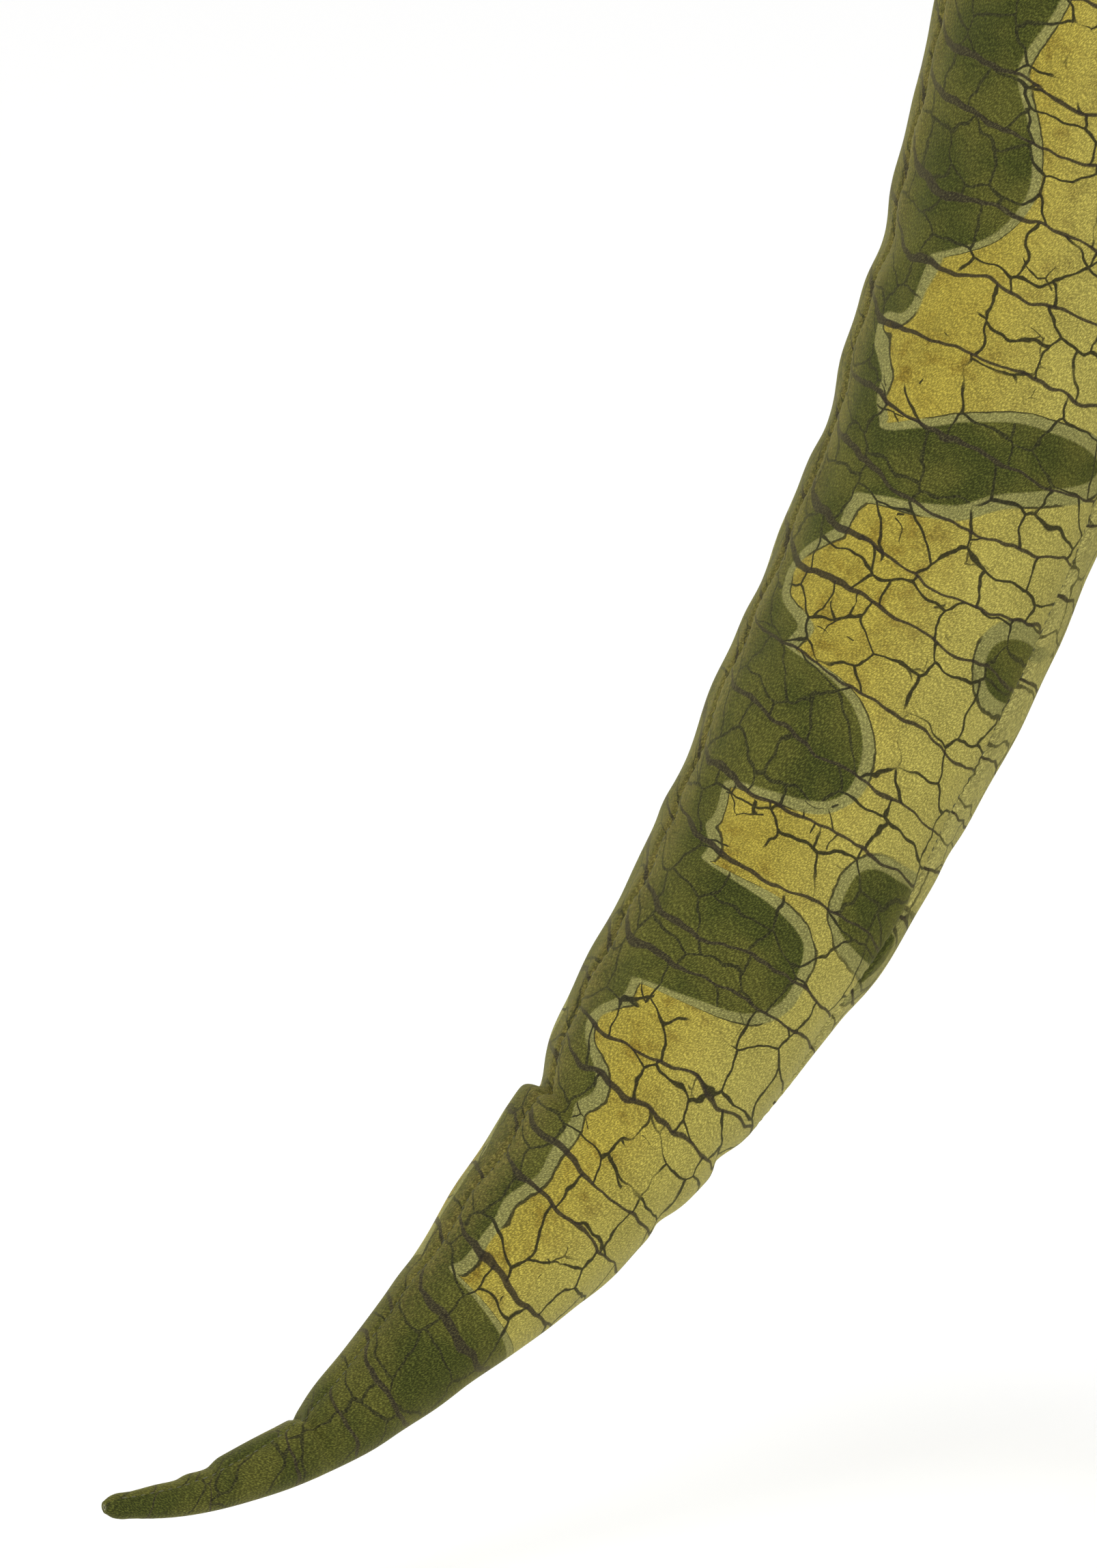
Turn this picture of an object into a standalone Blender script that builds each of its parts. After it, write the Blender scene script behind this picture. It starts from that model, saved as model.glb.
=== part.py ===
"""A child's dinosaur costume: a hooded jumpsuit of printed velour with a stuffed tail, as it is worn.

Metres, +Z up, the front faces -Y and the wearer's left is +X. Heights in the tables are above the ground
that the wearer stands on; the frame's origin is between the shoulders, HOLD_HEIGHT up, where the wearer
carries it.
Every piece of cloth is a closed wall CLOTH thick, and pieces stand SEAM apart where they are sewn.
"""

from typing import NamedTuple

import bmesh
import bpy
import numpy as np
from mathutils.bvhtree import BVHTree

CLOTH = 0.002
SEAM = 0.0003
HOLD_HEIGHT = 1.090

# Heights of the jumpsuit's landmarks
HEM = 0.070
CROTCH = 0.560
SEAT = 0.700
UNDERARM = 0.964
SHOULDER_TIP = 1.080
NECK_SIDE = 1.120
NECK_FRONT = 1.075
NECK_BACK = 1.112

# Half widths and depths at the top
SHOULDER_HALF = 0.150
NECK_HALF = 0.072
ARMHOLE_DEPTH = 0.052
ARMHOLE_HOLLOW = 0.008
SHOULDER_ARCH = 0.005
FRONT_SHOULDER_ROW = 1.035
BACK_SHOULDER_ROW = 1.062
PLACKET_HALF = 0.015
SQUARE_HIPS = 2.4
ROUND_CHEST = 2.0

# How far the panels' soft ridges reach: eased in towards a leg's middle, a little less on the trunk
LEG_SLACK_EASE = 0.02
TRUNK_SLACK_SHARE = 0.9

# Places inside the garment that its outer faces turn away from
BODY_MIDDLE = (0.05, 0.0, -0.4)
BEHIND_PLACKET = (0.0, 0.3, -0.3)
HEAD_MIDDLE = (0.0, 0.0, 0.12)
PLACKET_SIDE_LEAN = 0.5
SHARP_ANGLE = 50


class Trunk(NamedTuple):
    """The jumpsuit's trunk at one height: half width at the sides, depth to the front and to the back."""

    height: float
    half: float
    front: float
    back: float


TRUNK = (
    Trunk(0.560, 0.160, 0.098, 0.104),
    Trunk(0.640, 0.159, 0.104, 0.114),
    Trunk(0.700, 0.154, 0.105, 0.110),
    Trunk(0.780, 0.148, 0.104, 0.095),
    Trunk(0.860, 0.148, 0.104, 0.091),
    Trunk(0.920, 0.151, 0.105, 0.094),
    Trunk(0.964, 0.155, 0.104, 0.098),
    Trunk(1.020, 0.157, 0.097, 0.098),
    Trunk(1.062, 0.153, 0.082, 0.090),
    Trunk(1.080, 0.150, 0.073, 0.082),
    Trunk(1.112, 0.150, 0.066, 0.058),
)


class Leg(NamedTuple):
    """A leg at one height: where its inner and outer seams lie, and its depth to the front and the back."""

    height: float
    inner: float
    outer: float
    front: float
    back: float


LEG = (
    Leg(0.070, 0.042, 0.158, 0.057, 0.061),
    Leg(0.140, 0.040, 0.155, 0.059, 0.063),
    Leg(0.240, 0.033, 0.154, 0.064, 0.069),
    Leg(0.330, 0.027, 0.153, 0.071, 0.070),
    Leg(0.420, 0.018, 0.156, 0.082, 0.083),
    Leg(0.500, 0.008, 0.159, 0.092, 0.096),
    Leg(0.560, 0.0006, 0.160, 0.098, 0.104),
)


class Tail(NamedTuple):
    """The tail at one place on its middle line, from inside the seat to the tip: the place behind the
    wearer and its height, the thickness from back seam to underside, the width, and the twist in degrees."""

    behind: float
    height: float
    deep: float
    wide: float
    twist: float


TAIL = (
    Tail(0.0100, 0.7420, 0.1360, 0.1340, 0),
    Tail(0.0480, 0.7290, 0.1340, 0.1320, 0),
    Tail(0.0860, 0.7080, 0.1300, 0.1280, -1),
    Tail(0.1220, 0.6800, 0.1250, 0.1230, -4),
    Tail(0.1520, 0.6460, 0.1190, 0.1170, -7),
    Tail(0.1740, 0.6060, 0.1130, 0.1110, -9),
    Tail(0.1890, 0.5600, 0.1080, 0.1060, -11),
    Tail(0.2050, 0.5010, 0.1030, 0.1010, -13),
    Tail(0.2345, 0.4020, 0.1022, 0.1000, -13),
    Tail(0.2683, 0.3220, 0.0986, 0.0957, -11),
    Tail(0.2838, 0.2923, 0.0974, 0.0944, -12),
    Tail(0.3037, 0.2613, 0.0950, 0.0925, -7),
    Tail(0.3205, 0.2295, 0.0898, 0.0878, -6),
    Tail(0.3418, 0.2018, 0.0817, 0.0797, -4),
    Tail(0.3640, 0.1730, 0.0748, 0.0728, -4),
    Tail(0.3886, 0.1451, 0.0646, 0.0631, 7),
    Tail(0.4166, 0.1181, 0.0559, 0.0544, 9),
    Tail(0.4470, 0.0915, 0.0415, 0.0410, 10),
    Tail(0.4790, 0.0680, 0.0290, 0.0290, 21),
    Tail(0.5100, 0.0535, 0.0198, 0.0198, 36),
    Tail(0.5400, 0.0460, 0.0126, 0.0126, 41),
    Tail(0.5550, 0.0450, 0.0092, 0.0092, 42),
    Tail(0.5630, 0.0450, 0.0072, 0.0072, 42),
    Tail(0.5655, 0.0450, 0.0044, 0.0044, 42),
)


class Gore(NamedTuple):
    """The tail's underside panel: half its width round the tail, in degrees, by distance from the tip."""

    from_tip: float
    half: float


GORE = (
    Gore(0.205, 4.0),
    Gore(0.245, 20.0),
    Gore(0.290, 42.0),
    Gore(0.345, 46.0),
    Gore(0.420, 45.0),
    Gore(0.930, 46.0),
)
TAIL_SEAM_DIP = 0.0016
TAIL_SEAM_DIP_HALF = 0.006
TAIL_SEAM_FULL_RADIUS = 0.03
TAIL_SEAM_LEAST = 0.15
AXIS_STEP = 0.004
TAIL_SEAT_GAP = 0.0009
TAIL_HIDDEN_FROM = 0.72
TAIL_FREE_FROM = 0.62
SEAT_PASSES = 3
SEAT_SEARCH_STEPS = 90
SEAT_CHORD_STEPS = 5
BEHIND_SEAT = 0.4
TIP_WALL_SHARE = 0.6
TIP_MOST_SQUEEZE = 12.0
TAIL_COLUMNS = 6
ROW_STEP = 0.55
ROW_LEAST = 0.0045
ROW_MOST = 0.024
DEEP_CREASE = 0.003
DEEP_FOLD_ROWS = (-1.5, -0.8, 0.0, 0.8, 1.5)
SHALLOW_FOLD_ROWS = (-1.0, 0.0, 1.0)
FOLD_ROWS_APART = 0.6
FILLING_TURNS = 9
FILLING_CLEAR = 0.0026
FILLING_TIP = 0.030
FILLING_SEAT_CLEAR = 0.0032
FILLING_SEAT_RINGS = (0.78, 0.5, 0.2)


class Crease(NamedTuple):
    """A fold pressed into the tail: distance from the tip, angle from the back seam in degrees (towards the
    wearer's right), depth, half length along the tail and half spread round it in degrees."""

    from_tip: float
    angle: float
    depth: float
    half: float
    spread: float


TAIL_CREASES = (
    Crease(0.0270, -2, 0.0007, 0.0040, 60),
    Crease(0.0400, -2, 0.0015, 0.0045, 60),
    Crease(0.0780, 0, 0.0036, 0.0060, 50),
    Crease(0.1460, -16, 0.0012, 0.0140, 50),
    Crease(0.2190, -7, 0.0060, 0.0075, 42),
    Crease(0.2040, 162, 0.0022, 0.0070, 30),
    Crease(0.2310, 162, 0.0028, 0.0070, 30),
    Crease(0.3450, -21, 0.0026, 0.0200, 40),
    Crease(0.4650, -11, 0.0020, 0.0140, 45),
    Crease(0.5330, -10, 0.0018, 0.0160, 45),
    Crease(0.7000, 180, 0.0050, 0.0150, 60),
    Crease(0.7350, 150, 0.0030, 0.0140, 50),
)


class Arm(NamedTuple):
    """A sleeve's middle line, from the armhole to the cuff, with its radius there."""

    out: float
    back: float
    height: float
    radius: float


ARM = (
    Arm(0.1490, 0.000, 1.0220, 0.055),
    Arm(0.1760, 0.000, 1.0100, 0.057),
    Arm(0.2030, 0.002, 0.9790, 0.056),
    Arm(0.2340, 0.003, 0.9200, 0.052),
    Arm(0.2620, 0.002, 0.8600, 0.049),
    Arm(0.2880, -0.006, 0.8000, 0.046),
    Arm(0.3130, -0.020, 0.7400, 0.043),
    Arm(0.3310, -0.032, 0.6950, 0.042),
)
SLEEVE_ROWS = 13
SLEEVE_BLEND = 0.42
SLEEVE_CROWDING = 1.15
SLEEVE_STEP = 0.02


class Profile(NamedTuple):
    """The hood's centre strip at its seam, from the nape over the crown to the brow."""

    back: float
    height: float


HOOD_PROFILE = (
    Profile(0.0490, 1.1180),
    Profile(0.0640, 1.1400),
    Profile(0.0930, 1.1820),
    Profile(0.1060, 1.2350),
    Profile(0.0920, 1.2900),
    Profile(0.0500, 1.3310),
    Profile(-0.0060, 1.3430),
    Profile(-0.0570, 1.3280),
    Profile(-0.0900, 1.3000),
)


class FaceEdge(NamedTuple):
    """The hood's free edge round the face, from the neck to the brow."""

    out: float
    back: float
    height: float


FACE_EDGE = (
    FaceEdge(0.0150, -0.0740, 1.0770),
    FaceEdge(0.0400, -0.0860, 1.1020),
    FaceEdge(0.0660, -0.0920, 1.1380),
    FaceEdge(0.0800, -0.0960, 1.1820),
    FaceEdge(0.0800, -0.0990, 1.2300),
    FaceEdge(0.0650, -0.0980, 1.2740),
    FaceEdge(0.0400, -0.0900, 1.3000),
)
HOOD_FULLNESS = 0.046
HOOD_FULLNESS_POWER = 0.8
HOOD_CROWN_RISE = 0.006
HOOD_ROWS = 7
HOOD_FACE_COLUMNS = 8
HOOD_CORNER = 0.06
HOOD_STRIP_ROWS = 15
NAPE_BLEND = 0.2

# Grid rows of a front or back in each zone, and columns from the centre to the side
LEG_ROWS = 11
SEAT_ROWS = 7
TRUNK_ROWS = 6
ARMHOLE_ROWS = 9
SHOULDER_ROWS = 3
BODY_COLUMNS = 8
STRIP_COLUMN = 3


class Slack(NamedTuple):
    """A soft ridge where the cloth is slack: height, lean (rise across the panel), how far it stands out,
    half length up and down, and the places across the panel where it begins and ends."""

    height: float
    lean: float
    out: float
    half: float
    begins: float
    ends: float


FRONT_SLACK = (
    Slack(0.110, 0.020, 0.005, 0.022, 0.05, 0.85),
    Slack(0.175, -0.025, 0.004, 0.024, 0.25, 1.00),
    Slack(0.325, 0.030, 0.004, 0.026, 0.10, 0.80),
    Slack(0.790, -0.030, 0.004, 0.028, 0.30, 1.00),
)
BACK_SLACK = (
    Slack(0.120, -0.020, 0.005, 0.022, 0.10, 0.95),
    Slack(0.300, 0.035, 0.006, 0.024, 0.05, 0.90),
    Slack(0.370, -0.030, 0.005, 0.026, 0.20, 0.95),
    Slack(0.840, 0.040, 0.004, 0.030, 0.35, 1.00),
)


def smooth(x):
    """0 below 0, 1 above 1, and an even S between."""
    x = np.clip(x, 0.0, 1.0)
    return x * x * (3 - 2 * x)


def mix(a, b, t):
    return a + (b - a) * t


def curve(table, at, x):
    """The columns of a table at x, on a smooth curve through the rows, whose places are the list at."""
    rows = np.array(table, float)
    at = np.asarray(at, float)
    x = np.clip(np.asarray(x, float), at[0], at[-1])
    slope = np.gradient(rows, at, axis=0)
    i = np.clip(np.searchsorted(at, x, side="right") - 1, 0, len(at) - 2)
    step = (at[i + 1] - at[i])[..., None]
    t = (x - at[i])[..., None] / step
    return (
        rows[i] * (1 + 2 * t) * (1 - t) ** 2
        + slope[i] * step * t * (1 - t) ** 2
        + rows[i + 1] * t * t * (3 - 2 * t)
        - slope[i + 1] * step * t * t * (1 - t)
    )


def lengths(points):
    """The distance along a line of points, from its first."""
    steps = np.linalg.norm(np.diff(points, axis=0), axis=1)
    return np.concatenate([[0.0], np.cumsum(steps)])


def by_height(table, height):
    rows = np.array(table, float)
    return curve(rows[:, 1:], rows[:, 0], height)


def slack_at(table, height, across):
    """How far the cloth stands out of its plain form."""
    out = np.zeros(np.broadcast(height, across).shape)
    for fold in table:
        middle = fold.height + fold.lean * (across - 0.5)
        along = np.exp(-(((height - middle) / fold.half) ** 2))
        reach = (across - fold.begins) / (fold.ends - fold.begins)
        out += fold.out * along * np.sin(np.pi * np.clip(reach, 0, 1)) ** 2
    return out


def seat_blend(t, across):
    """How far a section of the seat is that of a leg: all at the crotch, none at the seat's top."""
    at_centre = 1 - np.sin(t * np.pi / 2)
    at_side = smooth(np.cos(t * np.pi / 2))
    return mix(at_centre, at_side, smooth(across * 2))


def lower_body(v, across, facing):
    """A point of the jumpsuit from hem to underarm, as out, depth and height. v counts the zones: 0 to 1
    the leg, 1 to 2 the seat, 2 to 3 the trunk. across runs from the centre to the side seam."""
    depth_of = {"front": 1, "back": 2}[facing]
    t_seat = np.clip(v - 1, 0, 1)
    height = np.where(
        v < 1,
        mix(HEM, CROTCH, v),
        np.where(
            v < 2,
            CROTCH + (SEAT - CROTCH) * (1 - np.cos(t_seat * np.pi / 2)),
            mix(SEAT, UNDERARM, v - 2),
        ),
    )
    trunk = by_height(TRUNK, height)
    leg = by_height(LEG, height)
    on_leg = v < 1
    inner = np.where(on_leg, leg[..., 0], 0.0)
    outer = np.where(on_leg, leg[..., 1], trunk[..., 0])
    share = np.sin(across * np.pi / 2) ** mix(2.0, 1.0, smooth(t_seat))
    squareness = mix(SQUARE_HIPS, ROUND_CHEST, smooth(v - 2))
    depth_trunk = trunk[..., depth_of] * (1 - share**squareness) ** (1 / squareness)
    depth_leg = leg[..., depth_of + 1] * 2 * np.sqrt(np.clip(share * (1 - share), 0, 1))
    blend = np.where(on_leg, 1.0, seat_blend(t_seat, across))
    depth = mix(depth_trunk, depth_leg, blend)
    table = FRONT_SLACK if facing == "front" else BACK_SLACK
    slack = slack_at(table, height, across)
    middle = mix(inner, outer, 0.5)
    out = mix(inner, outer, share)
    away = (out - middle) / (outer - middle + LEG_SLACK_EASE)
    out = out + slack * away * np.where(on_leg, 1, 0)
    depth = depth + slack * np.sin(np.pi * across) * np.where(on_leg, 1, TRUNK_SLACK_SHARE)
    return out, depth, height


def armhole(t):
    """The armhole's edge, from the underarm at t = 0 to the shoulder tip at 1."""
    middle, half = (UNDERARM + SHOULDER_TIP) / 2, (SHOULDER_TIP - UNDERARM) / 2
    height = middle - half * np.cos(np.pi * t)
    out = by_height(TRUNK, height)[..., 0] - ARMHOLE_HOLLOW * np.sin(np.pi * t)
    return out, ARMHOLE_DEPTH * np.sin(np.pi * t), height


def upper_body(v, across, facing):
    """A point of the jumpsuit from the underarm to the neckline. v is 3 to 4 beside the armhole and 4 to 5
    along the shoulder seam."""
    row_height = {"front": FRONT_SHOULDER_ROW, "back": BACK_SHOULDER_ROW}[facing]
    neck_height = {"front": NECK_FRONT, "back": NECK_BACK}[facing]
    depth_of = {"front": 1, "back": 2}[facing]
    t, s = np.clip(v - 3, 0, 1), np.clip(v - 4, 0, 1)
    edge_out, edge_depth, edge_height = armhole(t)
    arch = SHOULDER_ARCH * np.sin(np.pi * s)
    edge_out = np.where(v > 4, mix(SHOULDER_HALF, NECK_HALF, s), edge_out)
    edge_height = np.where(v > 4, mix(SHOULDER_TIP, NECK_SIDE, s) + arch, edge_height)
    edge_depth = np.where(v > 4, 0.0, edge_depth)
    centre_height = np.where(
        v > 4, mix(row_height, neck_height, s), mix(UNDERARM, row_height, t)
    )
    centre_depth = by_height(TRUNK, centre_height)[..., depth_of]
    angle = across * np.pi / 2
    out = edge_out * np.sin(angle)
    depth = centre_depth + (edge_depth - centre_depth) * (1 - np.cos(angle))
    height = mix(centre_height, edge_height, np.sin(angle) ** 2)
    return out, depth, height


def body_point(v, across, facing):
    v, across = np.broadcast_arrays(np.asarray(v, float), np.asarray(across, float))
    low = lower_body(np.minimum(v, 3), across, facing)
    high = upper_body(np.maximum(v, 3), across, facing)
    out, depth, height = (np.where(v <= 3, a, b) for a, b in zip(low, high))
    toward = {"front": -1.0, "back": 1.0}[facing]
    return np.stack([out, toward * depth, height - HOLD_HEIGHT], axis=-1)


def body_rows():
    zones = (LEG_ROWS, SEAT_ROWS, TRUNK_ROWS, ARMHOLE_ROWS, SHOULDER_ROWS)
    steps = [np.arange(n) / n + zone for zone, n in enumerate(zones)]
    return np.concatenate(steps + [[5.0]])


def body_columns(rows, facing):
    """Places across a panel for each row. The front's second column keeps to the placket's edge."""
    even = np.linspace(0, 1, BODY_COLUMNS + 1)
    if facing == "back":
        return np.broadcast_to(even, (len(rows), len(even)))
    half = body_point(rows, 1.0, "front")[:, 0]
    edge = np.arcsin(PLACKET_HALF / half) * 2 / np.pi
    edge = np.where(rows < 2, edge[rows >= 2][0], edge)
    rest = np.linspace(0, 1, BODY_COLUMNS)[None]
    columns = edge[:, None] + (1 - edge[:, None]) * rest
    return np.concatenate([np.zeros((len(rows), 1)), columns], axis=1)


def normals(grid, closed=False):
    """Unit normals of a grid of points, rows by columns."""
    down = np.gradient(grid, axis=0)
    if closed:
        wide = np.concatenate([grid[:, -1:], grid, grid[:, :1]], axis=1)
        over = np.gradient(wide, axis=1)[:, 1:-1]
    else:
        over = np.gradient(grid, axis=1)
    n = np.cross(over, down)
    return n / np.maximum(np.linalg.norm(n, axis=2, keepdims=True), 1e-12)


def outward(n, grid, centre):
    """The normals turned to point away from centre."""
    turned = np.sum(n * (grid - np.array(centre))) < 0
    return -n if turned else n


def wall(name, outer, inner, material, closed=False):
    """A closed wall between two grids of points, as one object."""
    rows, columns = outer.shape[:2]
    mesh = bmesh.new()
    skin = [[mesh.verts.new(p) for p in row] for row in outer]
    lining = [[mesh.verts.new(p) for p in row] for row in inner]
    last = columns if closed else columns - 1
    for i in range(rows - 1):
        for j in range(last):
            k = (j + 1) % columns
            mesh.faces.new((skin[i][j], skin[i][k], skin[i + 1][k], skin[i + 1][j]))
            mesh.faces.new((lining[i][j], lining[i + 1][j], lining[i + 1][k], lining[i][k]))
    for i in (0, rows - 1):
        for j in range(last):
            k = (j + 1) % columns
            mesh.faces.new((skin[i][j], lining[i][j], lining[i][k], skin[i][k]))
    if not closed:
        for j in (0, columns - 1):
            for i in range(rows - 1):
                mesh.faces.new((skin[i][j], skin[i + 1][j], lining[i + 1][j], lining[i][j]))
    return finish(name, mesh, material)


def finish(name, mesh, material):
    bmesh.ops.recalc_face_normals(mesh, faces=mesh.faces)
    data = bpy.data.meshes.new(name)
    mesh.to_mesh(data)
    mesh.free()
    data.shade_smooth()
    data.set_sharp_from_angle(angle=np.radians(SHARP_ANGLE))
    data.materials.append(material)
    made = bpy.data.objects.new(name, data)
    bpy.context.scene.collection.objects.link(made)
    return made


def body_panel(side, facing, cloth):
    """A front or a back, from the neckline to the hem. It stays in its own quarter of the plan, half a seam
    from the middle and from the side."""
    rows = body_rows()
    columns = body_columns(rows, facing)
    grid = body_point(rows[:, None], columns, facing)
    n = outward(normals(grid), grid, BODY_MIDDLE)
    inner = grid - CLOTH * n
    toward = -1 if facing == "front" else 1
    for points in (grid, inner):
        points[..., 0] = np.maximum(points[..., 0], SEAM / 2)
        points[..., 1] = toward * np.maximum(toward * points[..., 1], SEAM / 2)
    beside_arm = (rows > 3) & (rows < 4)
    inner[beside_arm, -1] = grid[beside_arm, -1] - [CLOTH, 0, 0]
    mirror = np.array([side, 1, 1])
    name = f"{facing}_{'left' if side > 0 else 'right'}"
    return wall(name, grid * mirror, inner * mirror, cloth), grid


def front_placket(front, cloth):
    """The strip that covers the front opening, laid on both fronts from the neckline to the seat."""
    rows = np.nonzero(body_rows() >= 2)[0]
    left = front[rows][:, :2]
    lifted = np.concatenate([left[:, ::-1] * [-1, 1, 1], left], axis=1)
    n = outward(normals(lifted), lifted, BEHIND_PLACKET)
    n[..., 0] *= PLACKET_SIDE_LEAN
    return wall(
        "front_placket", lifted + n * (SEAM + CLOTH), lifted + n * SEAM, cloth
    )


def sleeve_middle(t):
    rows = np.array(ARM, float)
    at = lengths(rows[:, :3])
    return curve(rows, at / at[-1], t)


def sleeve(side, cloth):
    """A set-in sleeve: it starts as the armhole's own outline and becomes round."""
    t = np.arange(ARMHOLE_ROWS + 1) / ARMHOLE_ROWS
    front = np.stack(armhole(t), axis=-1) * [1, -1, 1]
    back = np.stack(armhole(t), axis=-1)
    loop = np.concatenate([front[::-1], back[1:-1]]) - [0, 0, HOLD_HEIGHT]
    centre = sleeve_middle(0.0)[:3] - [0, 0, HOLD_HEIGHT]
    angle = np.arctan2(loop[:, 1] - centre[1], loop[:, 2] - centre[2])
    places = np.linspace(0, 1, SLEEVE_ROWS) ** SLEEVE_CROWDING
    rings, cores = [], []
    for place in places:
        middle = sleeve_middle(place)
        core = middle[:3] - [0, 0, HOLD_HEIGHT]
        before = sleeve_middle(place - SLEEVE_STEP)[:3]
        ahead = sleeve_middle(min(place + SLEEVE_STEP, 1))[:3] - before
        ahead /= np.linalg.norm(ahead)
        over = np.cross([0, 1, 0], ahead)
        over /= np.linalg.norm(over)
        fore = np.cross(ahead, over)
        if over[2] < 0:
            over = -over
        fore = fore if fore[1] > 0 else -fore
        ring = middle[3] * (
            np.cos(angle)[:, None] * over + np.sin(angle)[:, None] * fore
        )
        share = smooth(place / SLEEVE_BLEND)
        rings.append(core + mix(loop - centre, ring, share))
        cores.append(core)
    outer, cores = np.array(rings), np.array(cores)[:, None]
    outer[..., 0] += SEAM
    n = normals(outer, closed=True)
    n = n if np.sum(n * (outer - cores)) > 0 else -n
    n[0, :, 0] = 0
    n[0] /= np.linalg.norm(n[0], axis=1, keepdims=True)
    inner = outer - CLOTH * n
    mirror = np.array([side, 1, 1])
    name = f"sleeve_{'left' if side > 0 else 'right'}"
    return wall(name, outer * mirror, inner * mirror, cloth, closed=True)


def hood_profile(t):
    rows = np.array(HOOD_PROFILE, float)
    at = lengths(rows)
    return curve(rows, at / at[-1], t)


def face_edge(t):
    rows = np.array(FACE_EDGE, float)
    at = lengths(rows)
    return curve(rows, at / at[-1], t)


def strip_half():
    return NECK_HALF * np.sin(STRIP_COLUMN / BODY_COLUMNS * np.pi / 2)


def hood_side(side, front, back, cloth):
    """Half of the hood, between the centre strip, the neckline and the edge round the face."""
    neck_back = back[-1, STRIP_COLUMN:]
    neck_front = front[-1, 1:-1][::-1]
    neck = np.concatenate([neck_back, neck_front]) + [0, 0, SEAM]
    face = face_edge(np.linspace(0, 1, HOOD_FACE_COLUMNS + 1)[1:])
    face = face - [0, 0, HOLD_HEIGHT]
    far = np.concatenate([neck, face])
    count = len(far)
    share = mix(HOOD_CORNER, 1 - HOOD_CORNER, np.arange(count) / (count - 1))
    seam = hood_profile(share)
    near = np.stack([np.full(count, strip_half()), seam[:, 0], seam[:, 1] - HOLD_HEIGHT], 1)
    s = np.linspace(0, 1, HOOD_ROWS + 1)[:, None]
    round_it = np.sin(np.pi * np.arange(count) / (count - 1))
    fullness = HOOD_FULLNESS * round_it**HOOD_FULLNESS_POWER
    grid = mix(near[None], far[None], s[..., None])
    grid[..., 0] += 4 * s * (1 - s) * fullness[None]
    edge = grid[:, [0, -1]]
    grid[:, [0, -1]] = np.where([True, False, False], strip_half(), edge)
    n = outward(normals(grid), grid, HEAD_MIDDLE)
    inner = grid - CLOTH * n
    for points in (grid, inner):
        points[..., 0] = np.maximum(points[..., 0], SEAM / 2)
    for edge_of in (np.s_[0], np.s_[:, 0], np.s_[:, -1]):
        for points in (grid, inner):
            points[edge_of][..., 0] = strip_half() + SEAM / 2
    on_neck = np.arange(count) < len(neck)
    inner[-1, on_neck, 2] = grid[-1, on_neck, 2]
    mirror = np.array([side, 1, 1])
    name = f"hood_{'left' if side > 0 else 'right'}"
    return wall(name, grid * mirror, inner * mirror, cloth)


def hood_centre(back, cloth):
    """The strip over the head, from the nape to the brow."""
    half = back[-1, : STRIP_COLUMN + 1] + [0, 0, SEAM]
    nape = np.concatenate([half[:0:-1] * [-1, 1, 1], half])
    across = nape[:, 0]
    rows = np.linspace(0, 1, HOOD_STRIP_ROWS)
    line = hood_profile(rows)
    along = np.gradient(line, axis=0)
    along /= np.linalg.norm(along, axis=1, keepdims=True)
    up = np.stack([along[:, 1], -along[:, 0]], axis=1)
    rise = HOOD_CROWN_RISE * (1 - (across / strip_half()) ** 2)
    grid = np.zeros((len(rows), len(across), 3))
    grid[..., 0] = across
    grid[..., 1] = line[:, None, 0] + up[:, None, 0] * rise
    grid[..., 2] = line[:, None, 1] + up[:, None, 1] * rise - HOLD_HEIGHT
    share = smooth(rows / NAPE_BLEND)[:, None, None]
    moved = nape[None] - grid[:1]
    grid += moved * (1 - share)
    n = outward(normals(grid), grid, HEAD_MIDDLE)
    inner = grid - CLOTH * n
    limit = strip_half() - SEAM / 2
    for points in (grid, inner):
        points[..., 0] = np.clip(points[..., 0], -limit, limit)
        points[:, 0, 0], points[:, -1, 0] = -limit, limit
    inner[0, :, 2] = grid[0, :, 2]
    return wall("hood_centre", grid, inner, cloth)


def tail_middle(s):
    """The tail's columns at a distance from the tip, along the middle line."""
    rows = np.array(TAIL, float)
    at = lengths(rows[:, :2])
    return curve(rows, at, at[-1] - np.asarray(s, float))


def tail_length():
    return lengths(np.array(TAIL, float)[:, :2])[-1]


def gore_half(s):
    """Half the underside panel's width in degrees, none below its point."""
    rows = np.array(GORE, float)
    half = curve(rows[:, 1:], rows[:, 0], s)[..., 0]
    return np.where(np.asarray(s) < rows[0, 0], 0.0, half)


def tail_dip(turn, s, radius):
    """How far a seam and the creases draw the cloth in. turn is in degrees from the back seam."""
    turn = (np.asarray(turn) + 180) % 360 - 180
    dip = np.zeros(np.broadcast(turn, s).shape)
    thick = np.clip(radius / TAIL_SEAM_FULL_RADIUS, TAIL_SEAM_LEAST, 1)
    under = 180 - gore_half(s)
    for seam in (0, under, -under):
        off = np.radians((turn - seam + 180) % 360 - 180) * radius
        dip += TAIL_SEAM_DIP * thick * np.exp(-((off / TAIL_SEAM_DIP_HALF) ** 2))
    for crease in TAIL_CREASES:
        off = (turn - crease.angle + 180) % 360 - 180
        round_it = np.exp(-((off / crease.spread) ** 2))
        dip += crease.depth * round_it * np.exp(-(((s - crease.from_tip) / crease.half) ** 2))
    return dip


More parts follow.
